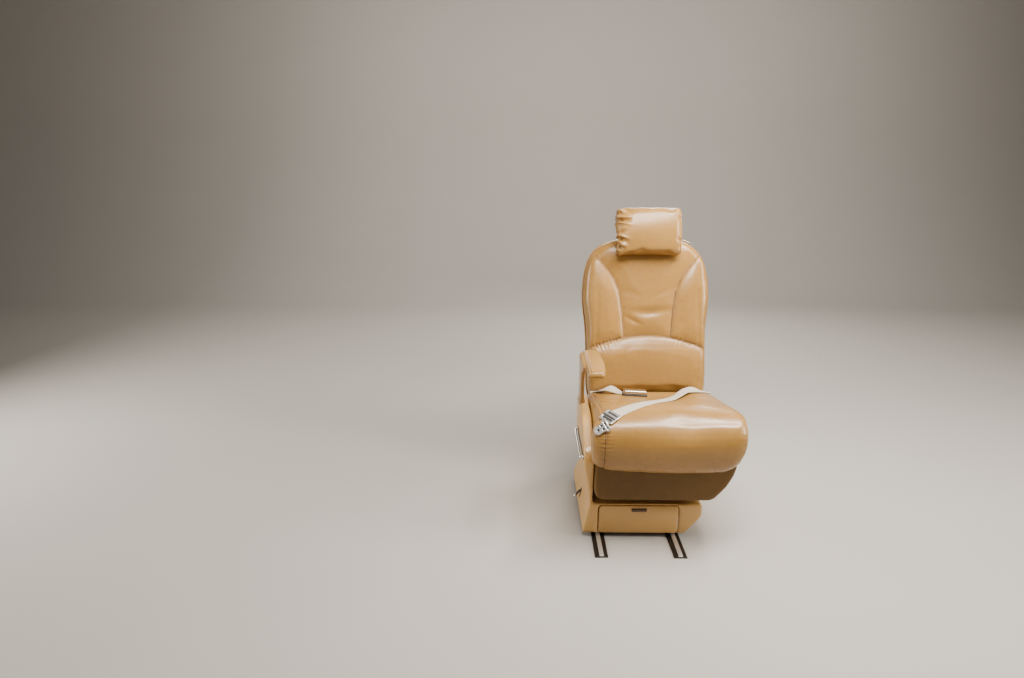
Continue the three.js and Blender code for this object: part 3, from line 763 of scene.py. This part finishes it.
def make_back_cover():
    cover = back_form("back_cover", FRONT_RINGS)
    remesh(cover, 6, 6)
    local = measured(read(cover), BACK)
    front = soften((-4 - local[:, 1]) / 30)
    local[:, 1] -= front * back_front(local[:, 0], local[:, 2])
    write(cover, placed(local, BACK))
    gap = distance_to(local * (1, 0, 1) + (0, FRONT, 0), back_seams())
    held = np.maximum(hump(gap, 0, 7), soften((local[:, 1] + 12) / 8))
    puff(cover, held, pressure=3.0, cap=7 * MM, shrink=-0.008, ease=16)
    subdivide(cover)
    tree = tree_of(cover)
    seams = [laid_on(tree, placed(seam, BACK))[0] for seam in back_seams()]
    arc = seams[2]
    amount = soften((np.abs(measured(arc, BACK)[:, 0]) - 40) / 120)
    gather(cover, arc, height=1.1 * MM, wave=13 * MM, reach=20 * MM, amount=amount)
    press_seams(cover, seams, depth=2.4 * MM, width=3.8 * MM)
    replaced = ("back_centre", "lumbar_pad", "bolster_aisle", "bolster_wall")
    finish_piece(cover, "back", "leather", replaced)
    sew("back_stitching", cover, seams, "back")


SCOOP = {"half": 62, "bottom": 566, "round": 34, "depth": 38, "widen": 0.06}
# The rear panel's border stops where it comes this near to the scoop: half width and height.
SCOOP_CLEAR = (74, 500)
PANEL_INSET = 62


def shell_rear(x, z):
    """How far the shell's rear stands out: a raised panel, and a scoop for the headrest's tail."""
    panel = back_outline(PANEL_INSET)
    gap = distance_to(np.stack([x, np.zeros_like(x), z], axis=1), [panel])
    inside = inside_of(panel, x, z)
    signed = np.where(inside, gap, -gap)
    raised = soften(signed / 8 + 0.5) * 8 + inside * 3 * (1 - np.exp(-gap / 60))
    half = SCOOP["half"] + np.maximum(z - SCOOP["bottom"], 0) * SCOOP["widen"]
    low = SCOOP["bottom"] + SCOOP["round"] * (1 - np.sqrt(dome(x, 0, half)))
    scoop = soften(np.minimum(half - np.abs(x), z - low) / 9 + 0.5)
    return raised * (1 - scoop) - scoop * SCOOP["depth"]


def inside_of(ring, x, z):
    """Which points lie inside a closed ring of (x, z)."""
    inside = np.zeros(len(x), dtype=bool)
    for a, b in zip(ring, np.roll(ring, -1, axis=0)):
        crosses = (a[2] > z) != (b[2] > z)
        slope = (b[0] - a[0]) / (b[2] - a[2] + TINY)
        inside ^= crosses & (x < a[0] + (z - a[2]) * slope)
    return inside


def panel_border():
    """The rear panel's edge, from one side of the scoop down and up to the other side."""
    ring = at_depth(back_outline(PANEL_INSET), 100)
    clear = (np.abs(ring[:, 0]) > SCOOP_CLEAR[0]) | (ring[:, 2] < SCOOP_CLEAR[1])
    first = int(np.argmin(clear))
    return np.roll(ring, -first, axis=0)[np.roll(clear, -first)]


def make_back_shell():
    shell = back_form("back_shell_cover", REAR_RINGS)
    remesh(shell, 6, 5)
    local = measured(read(shell), BACK)
    rear = soften((local[:, 1] - 66) / 22)
    local[:, 1] += rear * shell_rear(local[:, 0], local[:, 2])
    write(shell, placed(local, BACK))
    subdivide(shell)
    border = laid_on(tree_of(shell), placed(resampled(panel_border(), 2), BACK))[0]
    press_seams(shell, [border], depth=2.5 * MM, width=5 * MM)
    finish_piece(shell, "back", "leather", ("back_shell", "rear_panel"))
    sew("rear_panel_stitching", shell, [border], "back", (4.5 * MM,))
    edge = at_depth(back_outline(-1.2), 10)
    cord = rod("back_piping", edge, 3.2, 10, BACK, closed=True)
    finish_piece(cord, "back", "leather")


# Headrest: a pillow over the back's top, with sewn side panels and a tail behind.

# Half the seams' distance, and the share of it that is left at the pillow's rear.
PILLOW_SEAM, PILLOW_REAR = 121, 96 / 122
# Folds at the pillow's corners and top: two (x, z) ends, how deep at the first, and how wide.
PILLOW_FOLDS = [((-124, 689), (-58, 684), 11, 5), ((-122, 719), (-84, 706), 7, 5),
                ((-112, 742), (-72, 726), 4.5, 7), ((-123, 623), (-76, 597), 11, 5),
                ((-121, 640), (-76, 648), 3, 5), ((-118, 588), (-92, 572), 6, 5),
                ((123, 702), (92, 694), 3.5, 6), ((122, 612), (90, 620), 3.5, 6)]
PILLOW_SIDE = [(-51, 560), (-47, 640), (-40, 650), (62, 650), (62, 729), (40, 740), (-84, 743), (-110, 700),
               (-110, 640), (-98, 560)]


def pillow_seam(side):
    """One of the side panels' seams, which come nearer to each other towards the pillow's rear."""
    ring = drawn_in(rounded_ring(PILLOW_SIDE, 3, 14), 3)
    ring = np.vstack([ring, ring[:1]])
    ring[:, 0] = side * PILLOW_SEAM * (1 - (1 - PILLOW_REAR) * soften((ring[:, 1] + 47) / 109))
    return placed(ring, BACK)


def fill_pillow(local):
    """Crowns the pillow's front and top, and lifts its wall side a little."""
    middle = 652
    x, y, z = local.T.copy()
    front = soften((-56 - y) / 30)
    pillow_part = soften((-36 - y) / 20)
    z = middle + (z - middle) * (1 + 0.045 * pillow_part)
    y = y - (6 * front * dome(x, 0, 112) * dome(local[:, 2], 648, 92) + 3 * pillow_part)
    z = z + soften((z - 690) / 30) * (4 * np.cos(x / 80) - 3) + x * 0.018 * front
    return np.stack([x, y, z], axis=1)


def make_headrest():
    pad = joined("headrest_cover", [NODES["headrest_pad"]])
    remesh(pad, 5, 34)
    local = fill_pillow(measured(read(pad), BACK))
    write(pad, placed(local, BACK))
    seams = [pillow_seam(-1), pillow_seam(1)]
    gap = distance_to(read(pad), seams) / MM
    held = np.maximum(hump(gap, 0, 8), soften((local[:, 1] + 40) / 12))
    puff(pad, held, pressure=3.0, cap=6 * MM, shrink=-0.03, ease=4)
    subdivide(pad)
    tree = tree_of(pad)
    seams = [laid_on(tree, seam)[0] for seam in seams]
    for seam, strength in zip(seams, (0.7, 0.45)):
        _, depth, height = measured(seam, BACK).T
        corners = hump(height, 716, 22) + hump(height, 592, 24)
        amount = strength * corners * soften((-40 - depth) / 20)
        gather(pad, seam, height=2 * MM, wave=15 * MM, reach=20 * MM, amount=amount)
    fold_in(pad, BACK, PILLOW_FOLDS, -46)
    press_seams(pad, seams, depth=2 * MM, width=3.2 * MM)
    finish_piece(pad, "headrest", "leather", ("headrest_pad",))
    shown = [seam[measured(seam, BACK)[:, 1] < 58] for seam in seams]
    piping("headrest_piping", pad, shown, 1.9 * MM, "headrest")
    sew("headrest_stitching", pad, shown, "headrest", (-5 * MM, 5 * MM))


# Seat cushion: one panel over top and front between two sewn side panels.

CUSHION_SIDE = [(-228, 286.9), (-236, 280), (-252, 276.5), (-274, 281), (-291, 294), (-302, 314),
                (-308, 340), (-310, 368), (-307, 396), (-298, 421), (-282, 440), (-260, 452.5), (-232, 458),
                (-200, 457), (-160, 452), (-60, 435), (60, 413), (140, 398), (156, 386), (160, 345),
                (158, 302), (148, 289), (134, 286.9)]
CUSHION_ENDS = [(247, 36), (246, 24), (242, 13), (235, 6), (225, 2), (210, 0)]
CUSHION_SEAM = {-1: (226, 3), 1: (243, 15)}
# How far the wall side is drawn in, by height.
WALL_TAPER = {285: 40, 313: 30, 355: 20, 400: 16, 430: 13, 452: 5}
# Creases of the seat, laid out as creased() reads them.
CUSHION_CREASES = [(2.2, -73.5, -0.35, 13, 95, 60), (1.8, -95, 0.5, 12, 150, 45)]


def cushion_shape(points):
    """Moves the cushion's plain form to its final one: crowned, dished where one sits, its sides drawn in."""
    x, y, z = points.T
    out = points.copy()
    top = soften((z - 400) / 30)
    side = soften((np.abs(x) - 150) / 80)
    across = dome(x, 0, 232)
    out[:, 0] -= 0.75 * np.maximum(-226 - x, 0) * soften((-235 - y) / 24)
    out[:, 0] -= np.interp(z, list(WALL_TAPER), list(WALL_TAPER.values())) * side * (x > 0)
    crown = 5 * across * dome(y, -190, 110)
    dish = 7 * hump(x, 0, 140) * hump(y, 40, 85)
    out[:, 2] += top * (crown - dish - creased(x, y, CUSHION_CREASES))
    out[:, 1] -= 4 * across * soften((-255 - y) / 30)
    out[:, 2] -= 13 * soften((345 - z) / 55) * soften((-232 - y) / 18) * across ** 0.7
    valley = hump(z, 446, 6) * soften((-236 - y) / 20) * soften((x + 60) / 100) * across ** 0.4
    out[:, 1:] += (valley * 2)[:, None] * (1, -1)
    panel = soften((np.abs(x) - 232) / 8) * hump(z, 375, 50)
    out[:, 0] += np.sign(x) * panel * 3 * soften((-225 - y) / 30)
    return out


def cushion_seam(side):
    half, inset = CUSHION_SEAM[side]
    ring = drawn_in(rounded_ring(CUSHION_SIDE), inset)
    ring = np.vstack([ring, ring[:1]])
    ring[:, 0] = side * half
    return placed(cushion_shape(ring), SEAT)


def make_cushion():
    stations = [(-x, inset) for x, inset in CUSHION_ENDS] + CUSHION_ENDS[::-1]
    pad = pillow("seat_cushion_cover", rounded_ring(CUSHION_SIDE), stations, SEAT)
    remesh(pad, 6.5, 5)
    write(pad, placed(cushion_shape(measured(read(pad), SEAT)), SEAT))
    seams = [cushion_seam(-1), cushion_seam(1)]
    x, y, z = measured(read(pad), SEAT).T
    gap = distance_to(read(pad), seams) / MM
    hidden = np.maximum(soften((300 - z) / 10) * (y > -240), soften((y - 130) / 12))
    aisle_wall = soften((-238 - x) / 4) * (y > -240)
    held = np.maximum.reduce([hump(gap, 0, 8), hidden, aisle_wall])
    puff(pad, held, pressure=3.5, cap=9 * MM, shrink=-0.002, ease=40)
    subdivide(pad)
    tree = tree_of(pad)
    seams = [laid_on(tree, seam)[0] for seam in seams]
    for seam, strength in zip(seams, (1.0, 0.5)):
        _, depth, height = measured(seam, SEAT).T
        shown = soften((height - 292) / 15) * soften((432 - height) / 30)
        amount = strength * soften((-262 - depth) / 20) * shown
        gather(pad, seam, height=1.5 * MM, wave=12 * MM, reach=20 * MM, amount=amount)
    press_seams(pad, seams, depth=3.2 * MM, width=4.5 * MM)
    finish_piece(pad, "pedestal", "leather", ("seat_cushion",))
    shown = [seam[measured(seam, SEAT)[:, 2] > 290] for seam in seams]
    sew("cushion_stitching", pad, shown, "pedestal")
    return tree_of(pad)


def make_pan():
    """The upholstered pan under the cushion, in a darker copy of the leather: painted shade under the cushion's
    overhang.
    """
    pan = joined("seat_pan_cover", [NODES["seat_pan"]])
    remesh(pan, 7, 8)
    finish_piece(pan, "pedestal", "leather", ("seat_pan",), PAN_LEATHER_PAINTED_SHADE)


def make_pedestal():
    """The shroud and the fairing as one moulding. The fairing is lowered a little, so that the two merge."""
    lowered = 1.5 * MM
    shroud, fairing = NODES["base_shroud"], NODES["side_fairing"]
    skin = joined("pedestal_skin", [shroud, fairing])
    points = read(skin)
    points[len(shroud.data.vertices):, 2] -= lowered
    write(skin, points)
    remesh(skin, 4, 9)
    finish_piece(skin, "pedestal", "moulded_trim", ("base_shroud", "side_fairing"))


# Drawer front: fills the bay but for a narrow gap, with a rounded edge.

DRAWER_FACE = (-225, 47, 6.5, 110)
DRAWER_RADIUS = 13
# Its rings from rear to front: depth and inset.
DRAWER_RINGS = [(-194.5, 0.6), (-196, 0), (-205.5, 0), (-207, 0.6), (-208, 2.2)]


def make_drawer_front():
    x0, x1, z0, z1 = DRAWER_FACE
    rings = []
    for y, inset in DRAWER_RINGS:
        flat = round_rectangle(x0 + inset, x1 - inset, z0 + inset, z1 - inset, DRAWER_RADIUS - inset, 8)
        rings.append([(x, y, z) for x, z in flat])
    finish_piece(loft("drawer_panel", rings, SEAT), "drawer", "moulded_trim", ("drawer_front",))


# Armrest: pad and post as one padded form, with the curved underside between them.

ARM_PAD = [(-134, 549), (-128, 541), (-95, 540), (60, 534), (132, 524), (132, 556), (122, 567), (-100, 566.5),
           (-126, 562)]
ARM_PAD_STATIONS = [(-268, 4), (-266, 1), (-262, 0), (-222, 0), (-215, 3), (-211, 9)]
ARM_POST = [(17, 354), (98, 354), (98, 496), (113, 538), (118, 560), (60, 562), (-40, 560), (-46, 546),
            (-22, 538), (2, 522), (13, 502), (17, 478)]
ARM_POST_STATIONS = [(-280.2, 4.5), (-278.8, 1.8), (-276, 0), (-269, 0), (-266.6, 1.5), (-265.4, 4)]
ARM_BULGE = 9
ARM_CROWN = 2.5


def make_armrest():
    pad = pillow("armrest_top", rounded_ring(ARM_PAD, 3, 5), ARM_PAD_STATIONS, SEAT)
    post = pillow("armrest_side", rounded_ring(ARM_POST, 3, 4), ARM_POST_STATIONS, SEAT)
    arm = joined("armrest_cover", [pad, post])
    bpy.data.objects.remove(pad)
    bpy.data.objects.remove(post)
    remesh(arm, 3.5, 7)
    x, y, z = measured(read(arm), SEAT).T
    x = x + soften((x + 250) / 35) * ARM_BULGE * dome(y, 0, 132)
    z = z + soften((z - 545) / 15) * ARM_CROWN * dome(x, -240, 34)
    write(arm, placed(np.stack([x, y, z], axis=1), SEAT))
    seam = drawn_in(rounded_ring(ARM_PAD, 2, 5), 1) + (-258, 0, 0)
    seam = placed(seam[seam[:, 2] > 556], SEAT)
    seam = laid_on(tree_of(arm), seam)[0]
    press_seams(arm, [seam], depth=1.2 * MM, width=3 * MM)
    finish_piece(arm, "armrest", "leather", ("armrest_pad", "armrest_post"))
    sew("armrest_stitching", arm, [seam], "armrest")


# Hardware


def round_rectangle(x0, x1, y0, y1, radius, steps=5):
    points = []
    for x, y, turn in ((x1, y1, 0), (x0, y1, 90), (x0, y0, 180), (x1, y0, 270)):
        middle = (x + (radius if x == x0 else -radius), y + (radius if y == y0 else -radius))
        for k in range(steps + 1):
            angle = math.radians(turn + 90 * k / steps)
            points.append((middle[0] + radius * math.cos(angle), middle[1] + radius * math.sin(angle)))
    return points


def round_hole(x, y, radius):
    turns = np.arange(20) * math.pi / 10
    return list(zip(x + radius * np.cos(turns), y + radius * np.sin(turns)))


def flat_plate(name, outline, holes, thick, edge, matrix):
    """A flat plate with holes and rounded edges, drawn in its own (x, y) millimetres."""
    curve = bpy.data.curves.new(name, "CURVE")
    curve.dimensions = "2D"
    curve.fill_mode = "BOTH"
    curve.extrude = thick / 2 - edge
    curve.bevel_depth = edge
    curve.bevel_resolution = 2
    for points in [outline, *holes]:
        spline = curve.splines.new("POLY")
        spline.points.add(len(points) - 1)
        for point, (x, y) in zip(spline.points, points):
            point.co = (x, y, 0, 1)
        spline.use_cyclic_u = True
    drawn = linked(name, curve)
    mesh = bpy.data.meshes.new_from_object(evaluated(drawn))
    bpy.data.objects.remove(drawn)
    mesh.transform(matrix)
    return linked(name, mesh)


def stacked(name, layers, matrix):
    """A closed form over rounded rectangles: half length, half width, height and corner radius of each."""
    rings = [[(x, y, z) for x, y in round_rectangle(-u, u, -v, v, radius)] for u, v, z, radius in layers]
    return loft(name, rings, matrix)


def rod(name, path, radius, sides, matrix, closed=False):
    """A round bar along a path, in local millimetres."""
    return merged(name, [tube(placed(path, matrix), radius * MM, sides, closed)])


def seen_from_above(tree, x, y):
    """Where the surface lies over the seat's (x, y), and its normal there."""
    above = 560
    return tree.ray_cast(SEAT @ Vector((x, y, above)), Vector((0, 0, -1)))[:2]


def resting_on(tree, x, y, heading, lift, tilt=0.0):
    """A frame on the surface at the seat's (x, y): its x axis runs along the heading, its z axis out."""
    place, out = seen_from_above(tree, x, y)
    ahead = Vector(heading).normalized()
    ahead = (ahead - out * ahead.dot(out)).normalized()
    axes = Matrix((ahead, out.cross(ahead), out)).transposed().to_4x4()
    return (Matrix.Translation(place + out * lift * MM) @ axes @ Matrix.Rotation(tilt, 4, "Y")
            @ Matrix.Scale(MM, 4))


def facing_aisle(place, lean=0.0):
    """A frame on the seat's aisle side: its x axis runs forward, its y axis up, its z axis out."""
    turn = Matrix.Rotation(lean, 4, "Y") @ Matrix(((0, 0, -1), (-1, 0, 0), (0, 1, 0))).to_4x4()
    return Matrix.Translation(SEAT @ Vector(place)) @ turn @ Matrix.Scale(MM, 4)


# Belt. The webbing is laid on the cushion; its last stretch goes down behind it to the anchor.

WEB_WIDTH, WEB_THICK, WEB_EDGE_SHARE, WEB_STEP, WEB_CLEAR = 46, 2.4, 0.55, 5, 0.8
# Over its first stretch the strap turns from square to the seat to square to its path.
WEB_TURN = 60
# Places across the webbing, from one edge to the other.
TAPS = np.linspace(-1, 1, 9)
# The stretch behind the cushion, from the anchor up, as (y, z).
BEHIND = [(170, 322), (169.5, 350), (168, 372), (163, 388)]
CUSHION_REAR = 150
WALL_PATH = [(206, 152), (168, 120), (110, 70), (26, -60), (-58, -137), (-135, -196), (-192, -238)]
AISLE_PATH = [(-210, 150), (-196, 112), (-172, 84), (-138, 60), (-118, 52)]


def wall_lift(along, tap):
    """The long strap turns its face forward near its rear end, then its front edge stands off the cushion."""
    stood = soften((along - 5) / 40) * soften((170 - along) / 120) * (13 - 10 * tap)
    return stood + soften((along - 90) / 80) * soften((330 - along) / 140) * (5 + 5 * tap)


def aisle_lift(along, tap):
    """The short strap arches over to its buckle."""
    return 25 * soften((along - 25) / 45) * soften((124 - along) / 40) * (0.9 + 0.35 * tap)


def height_on(tree, x, y):
    hit, _ = seen_from_above(tree, x, min(y, CUSHION_REAR))
    return (SEAT.inverted() @ hit).z if hit else math.nan


def web_plan(path):
    """The webbing from above: its middle line, and the way across it, which starts square to the seat."""
    line = resampled(curved([(x, y, 0) for x, y in path]), WEB_STEP)
    ahead = unit(np.gradient(line, axis=0))
    across = np.stack([-ahead[:, 1], ahead[:, 0], ahead[:, 2]], axis=1)
    turned = soften(np.arange(len(line)) * WEB_STEP / WEB_TURN)[:, None]
    square = np.array((np.sign(across[0, 0]), 0, 0))
    return line, unit(across * turned + square * (1 - turned))


def evened(high, low):
    """Evens the webbing's heights out, without letting it sink into the cushion."""
    for _ in range(30):
        high[1:-1] = (high[:-2] + 2 * high[1:-1] + high[2:]) / 4
        high[:, 1:-1] = (high[:, :-2] + 2 * high[:, 1:-1] + high[:, 2:]) / 4
        high = np.maximum(high, low)
    return high


def web_underside(tree, path, lift):
    """The webbing's underside as rows of points, from its anchor over the cushion."""
    line, across = web_plan(path)
    grid = line[:, None, :] + across[:, None, :] * (TAPS * WEB_WIDTH / 2)[:, None]
    ground = np.array([[height_on(tree, x, y) for x, y, _ in row] for row in grid])
    ground = np.where(np.isnan(ground), np.nanmean(ground, axis=1)[:, None], ground)
    low = ground + WEB_CLEAR
    along = np.arange(len(line))[:, None] * WEB_STEP
    high = evened(low + lift(along, TAPS), low)
    # A row that tilts is narrower from above.
    tilt = np.clip((high[:, -1] - high[:, 0]) / WEB_WIDTH, -0.9, 0.9)
    middle = line[:, None, :2]
    grid[:, :, :2] = middle + (grid[:, :, :2] - middle) * np.sqrt(1 - tilt ** 2)[:, None, None]
    grid[:, :, 2] = high
    behind = [grid[0] * (1, 0, 0) + (0, y, z) for y, z in BEHIND]
    return np.concatenate([behind, grid[1:]])


def lay_webbing(name, tree, path, lift, node):
    """A strap along a path on the cushion, from its anchor behind it. lift says how far it stands clear."""
    under = web_underside(tree, path, lift)
    rows, columns = under.shape[:2]
    out = unit(np.cross(np.gradient(under, axis=1), np.gradient(under, axis=0)))
    out *= np.sign(out[rows // 2, columns // 2, 2])
    thickness = WEB_THICK * np.where(np.abs(TAPS) > 0.9, WEB_EDGE_SHARE, 1)
    over = under + out * thickness[:, None]
    strap = loft(name, np.hstack([under, over[:, ::-1]]), SEAT)
    travel = travelled(under) * MM
    mark(strap, "along", np.hstack([travel, travel[:, ::-1]]).ravel())
    offsets = TAPS * WEB_WIDTH / 2 * MM
    mark(strap, "across", np.tile(np.hstack([offsets, offsets[::-1]]), rows))
    finish_piece(strap, "pedestal", "webbing", (node,))


TONGUE_BLADE = [(-24, -20), (-22, -22), (-14, -21), (-8, -15), (17, -13), (23, -9), (25, -4),
                (25, 4), (23, 9), (17, 13), (-8, 15), (-14, 21), (-22, 22), (-24, 20)]


def make_tongue(tree):
    """A steel adjuster that the strap ends in, and the tongue that hangs from it over the cushion's edge, with
    dark sheets under both as painted shade in their slots.
    """
    at = resting_on(tree, -209, -254, (-38, -30, -14), 5.2, 0.1)
    slots = [round_rectangle(-19, -10, -21, 21, 2), round_rectangle(5, 16, -22, 22, 2)]
    adjuster = flat_plate("belt_adjuster", round_rectangle(-24, 22, -27, 27, 5), slots, 3, 0.9, at)
    finish_piece(adjuster, "pedestal", "polished_metal", material=BELT_METAL)
    bar = [(1, y, 1.6) for y in np.linspace(-24, 24, 12)]
    finish_piece(rod("belt_adjuster_bar", bar, 3.2, 12, at), "pedestal", "dark_plastic")
    tip = resting_on(tree, -236, -284, (-37, -13, -16), 5.0, 0.1)
    holes = [round_rectangle(-20, -13, -17, 17, 2), round_rectangle(-8, 1, -10.5, -3, 2),
             round_rectangle(-8, 1, 3, 10.5, 2), round_hole(12, 0, 5.5)]
    tongue = flat_plate("belt_tongue_plate", TONGUE_BLADE, holes, 2.8, 0.8, tip)
    finish_piece(tongue, "pedestal", "polished_metal", ("belt_tongue",), material=BELT_METAL)
    # Dark sheets under the adjuster and the tongue that show through their slots and holes: painted shade.
    for name, outline, frame_at, below in (
            ("belt_adjuster_shade_sheet", round_rectangle(-21, 19, -24, 24, 4), at, 2),
            ("belt_tongue_shade_sheet", round_rectangle(-22, 19, -11, 11, 4), tip, 1.9)):
        back = flat_plate(name, outline, [], 1, 0.3, frame_at @ Matrix.Translation((0, 0, -below)))
        finish_piece(back, "pedestal", "dark_plastic")


# The buckle's layers: half length, half width, height and corner radius.
BUCKLE_BODY = [(44, 26, 0, 6), (44.5, 26.5, 2, 6), (44.5, 26.5, 4, 6), (43.5, 25.5, 5.5, 6)]
BUCKLE_LID = [(40, 22, 5, 6), (41.5, 23.5, 6.5, 6), (42, 24, 15, 6), (40.5, 22.5, 17.6, 6), (36, 19, 19.2, 5)]
# The lid's crown: its height, its half length, and the height above which it starts.
LID_CROWN, LID_HALF, LID_TOP = 1.6, 44, 13


def make_buckle(tree):
    """A lift-lever buckle: a bright cover, crowned along its length, over a dark body."""
    at = resting_on(tree, -82, 34, (1, -0.12, 0), 1.0)
    finish_piece(stacked("buckle_body", BUCKLE_BODY, at), "pedestal", "dark_plastic")
    lid = stacked("buckle_cover", BUCKLE_LID, at)
    local = measured(read(lid), at)
    local[:, 2] += LID_CROWN * dome(local[:, 0], 0, LID_HALF) * (local[:, 2] > LID_TOP)
    write(lid, placed(local, at))
    finish_piece(lid, "pedestal", "polished_metal", ("belt_buckle",), material=BUCKLE_METAL)


def make_belt(tree):
    lay_webbing("belt_strap_wall", tree, WALL_PATH, wall_lift, "belt_webbing_wall")
    lay_webbing("belt_strap_aisle", tree, AISLE_PATH, aisle_lift, "belt_webbing_aisle")
    make_tongue(tree)
    make_buckle(tree)


# Controls on the aisle side.

BAR_PATH = [(-279, -188, 285), (-288, -191, 284), (-294.5, -180, 283.5), (-295, -160, 283.5),
            (-295, -72, 284), (-295, 16, 283.5), (-294.5, 36, 283.5), (-288, 47, 284), (-279, 44, 285)]
RECESS_AT = (-283.4, -72, 284)
LEVER_AT = (-273.9, -10, 44)
LEVER_LEAN = math.atan2(24, 115)
STALK_PATH = [(0, 18, 0), (0, 15, 5), (0, 4, 11), (0, -8, 15)]
KNOB_RADIUS = 6.5


def make_release_bar():
    """A polished bar on two feet, before a dark recess."""
    bar = rod("release_handle", resampled(curved(BAR_PATH, 6), 4), 4.6, 14, SEAT)
    finish_piece(bar, "pedestal", "polished_metal", ("release_bar", "bar_bracket_front", "bar_bracket_rear"))
    plate = round_rectangle(-128, 128, -9, 9, 8, 6)
    recess = flat_plate("release_recess", plate, [], 1.6, 0.5, facing_aisle(RECESS_AT))
    finish_piece(recess, "pedestal", "dark_plastic")


def make_track_lever():
    """A dark stalk that leans out of its slot, with a bright knob."""
    at = facing_aisle(LEVER_AT, LEVER_LEAN)
    slot = flat_plate("lever_slot", round_rectangle(-8, 8, -8, 28, 7), [], 2, 0.7, at)
    finish_piece(slot, "pedestal", "dark_plastic")
    stalk = resampled(curved(STALK_PATH), 2)
    thinning = np.linspace(4.2, 3.2, len(stalk))
    finish_piece(rod("lever_stalk", stalk, thinning, 12, at), "pedestal", "dark_plastic")
    rings = []
    for a in np.linspace(0.15, math.pi - 0.1, 9):
        reach, height = KNOB_RADIUS * math.sin(a), -8 - KNOB_RADIUS * math.cos(a)
        around = np.linspace(0, 2 * math.pi, 20)[:-1]
        rings.append([(reach * math.cos(k), height, 16 + reach * math.sin(k)) for k in around])
    finish_piece(loft("lever_knob", rings, at), "pedestal", "polished_metal", ("track_lever",))


# Shoulder harness guide: a dark base with a bronze loop over it, on the wall-side shoulder.

HARNESS_AT = (164, 46, 613.3)
HARNESS_LEAN = 0.5
HARNESS_BASE = [(24, 16, 0, 7), (24, 16, 3, 7), (21, 13.5, 7.5, 6), (17, 10, 9.5, 5)]
HARNESS_LOOP = [(-17, 0, 6), (-18, 0, 13), (-13, 0, 18), (0, 0, 19), (13, 0, 18), (18, 0, 13), (17, 0, 6)]


def make_harness_guide():
    at = BACK @ Matrix.Translation(HARNESS_AT) @ Matrix.Rotation(HARNESS_LEAN, 4, "Y")
    finish_piece(stacked("harness_base", HARNESS_BASE, at), "back", "dark_plastic", ("harness_guide",))
    hoop = rod("harness_loop", resampled(curved(HARNESS_LOOP), 2), 2.6, 10, at)
    finish_piece(hoop, "back", "polished_metal", material=BRONZE)


make_camera()
make_floor()
make_light()
dress_frame()
make_back_cover()
make_back_shell()
make_headrest()
CUSHION_TREE = make_cushion()
make_pan()
make_pedestal()
make_drawer_front()
make_armrest()
make_belt(CUSHION_TREE)
make_release_bar()
make_track_lever()
make_harness_guide()
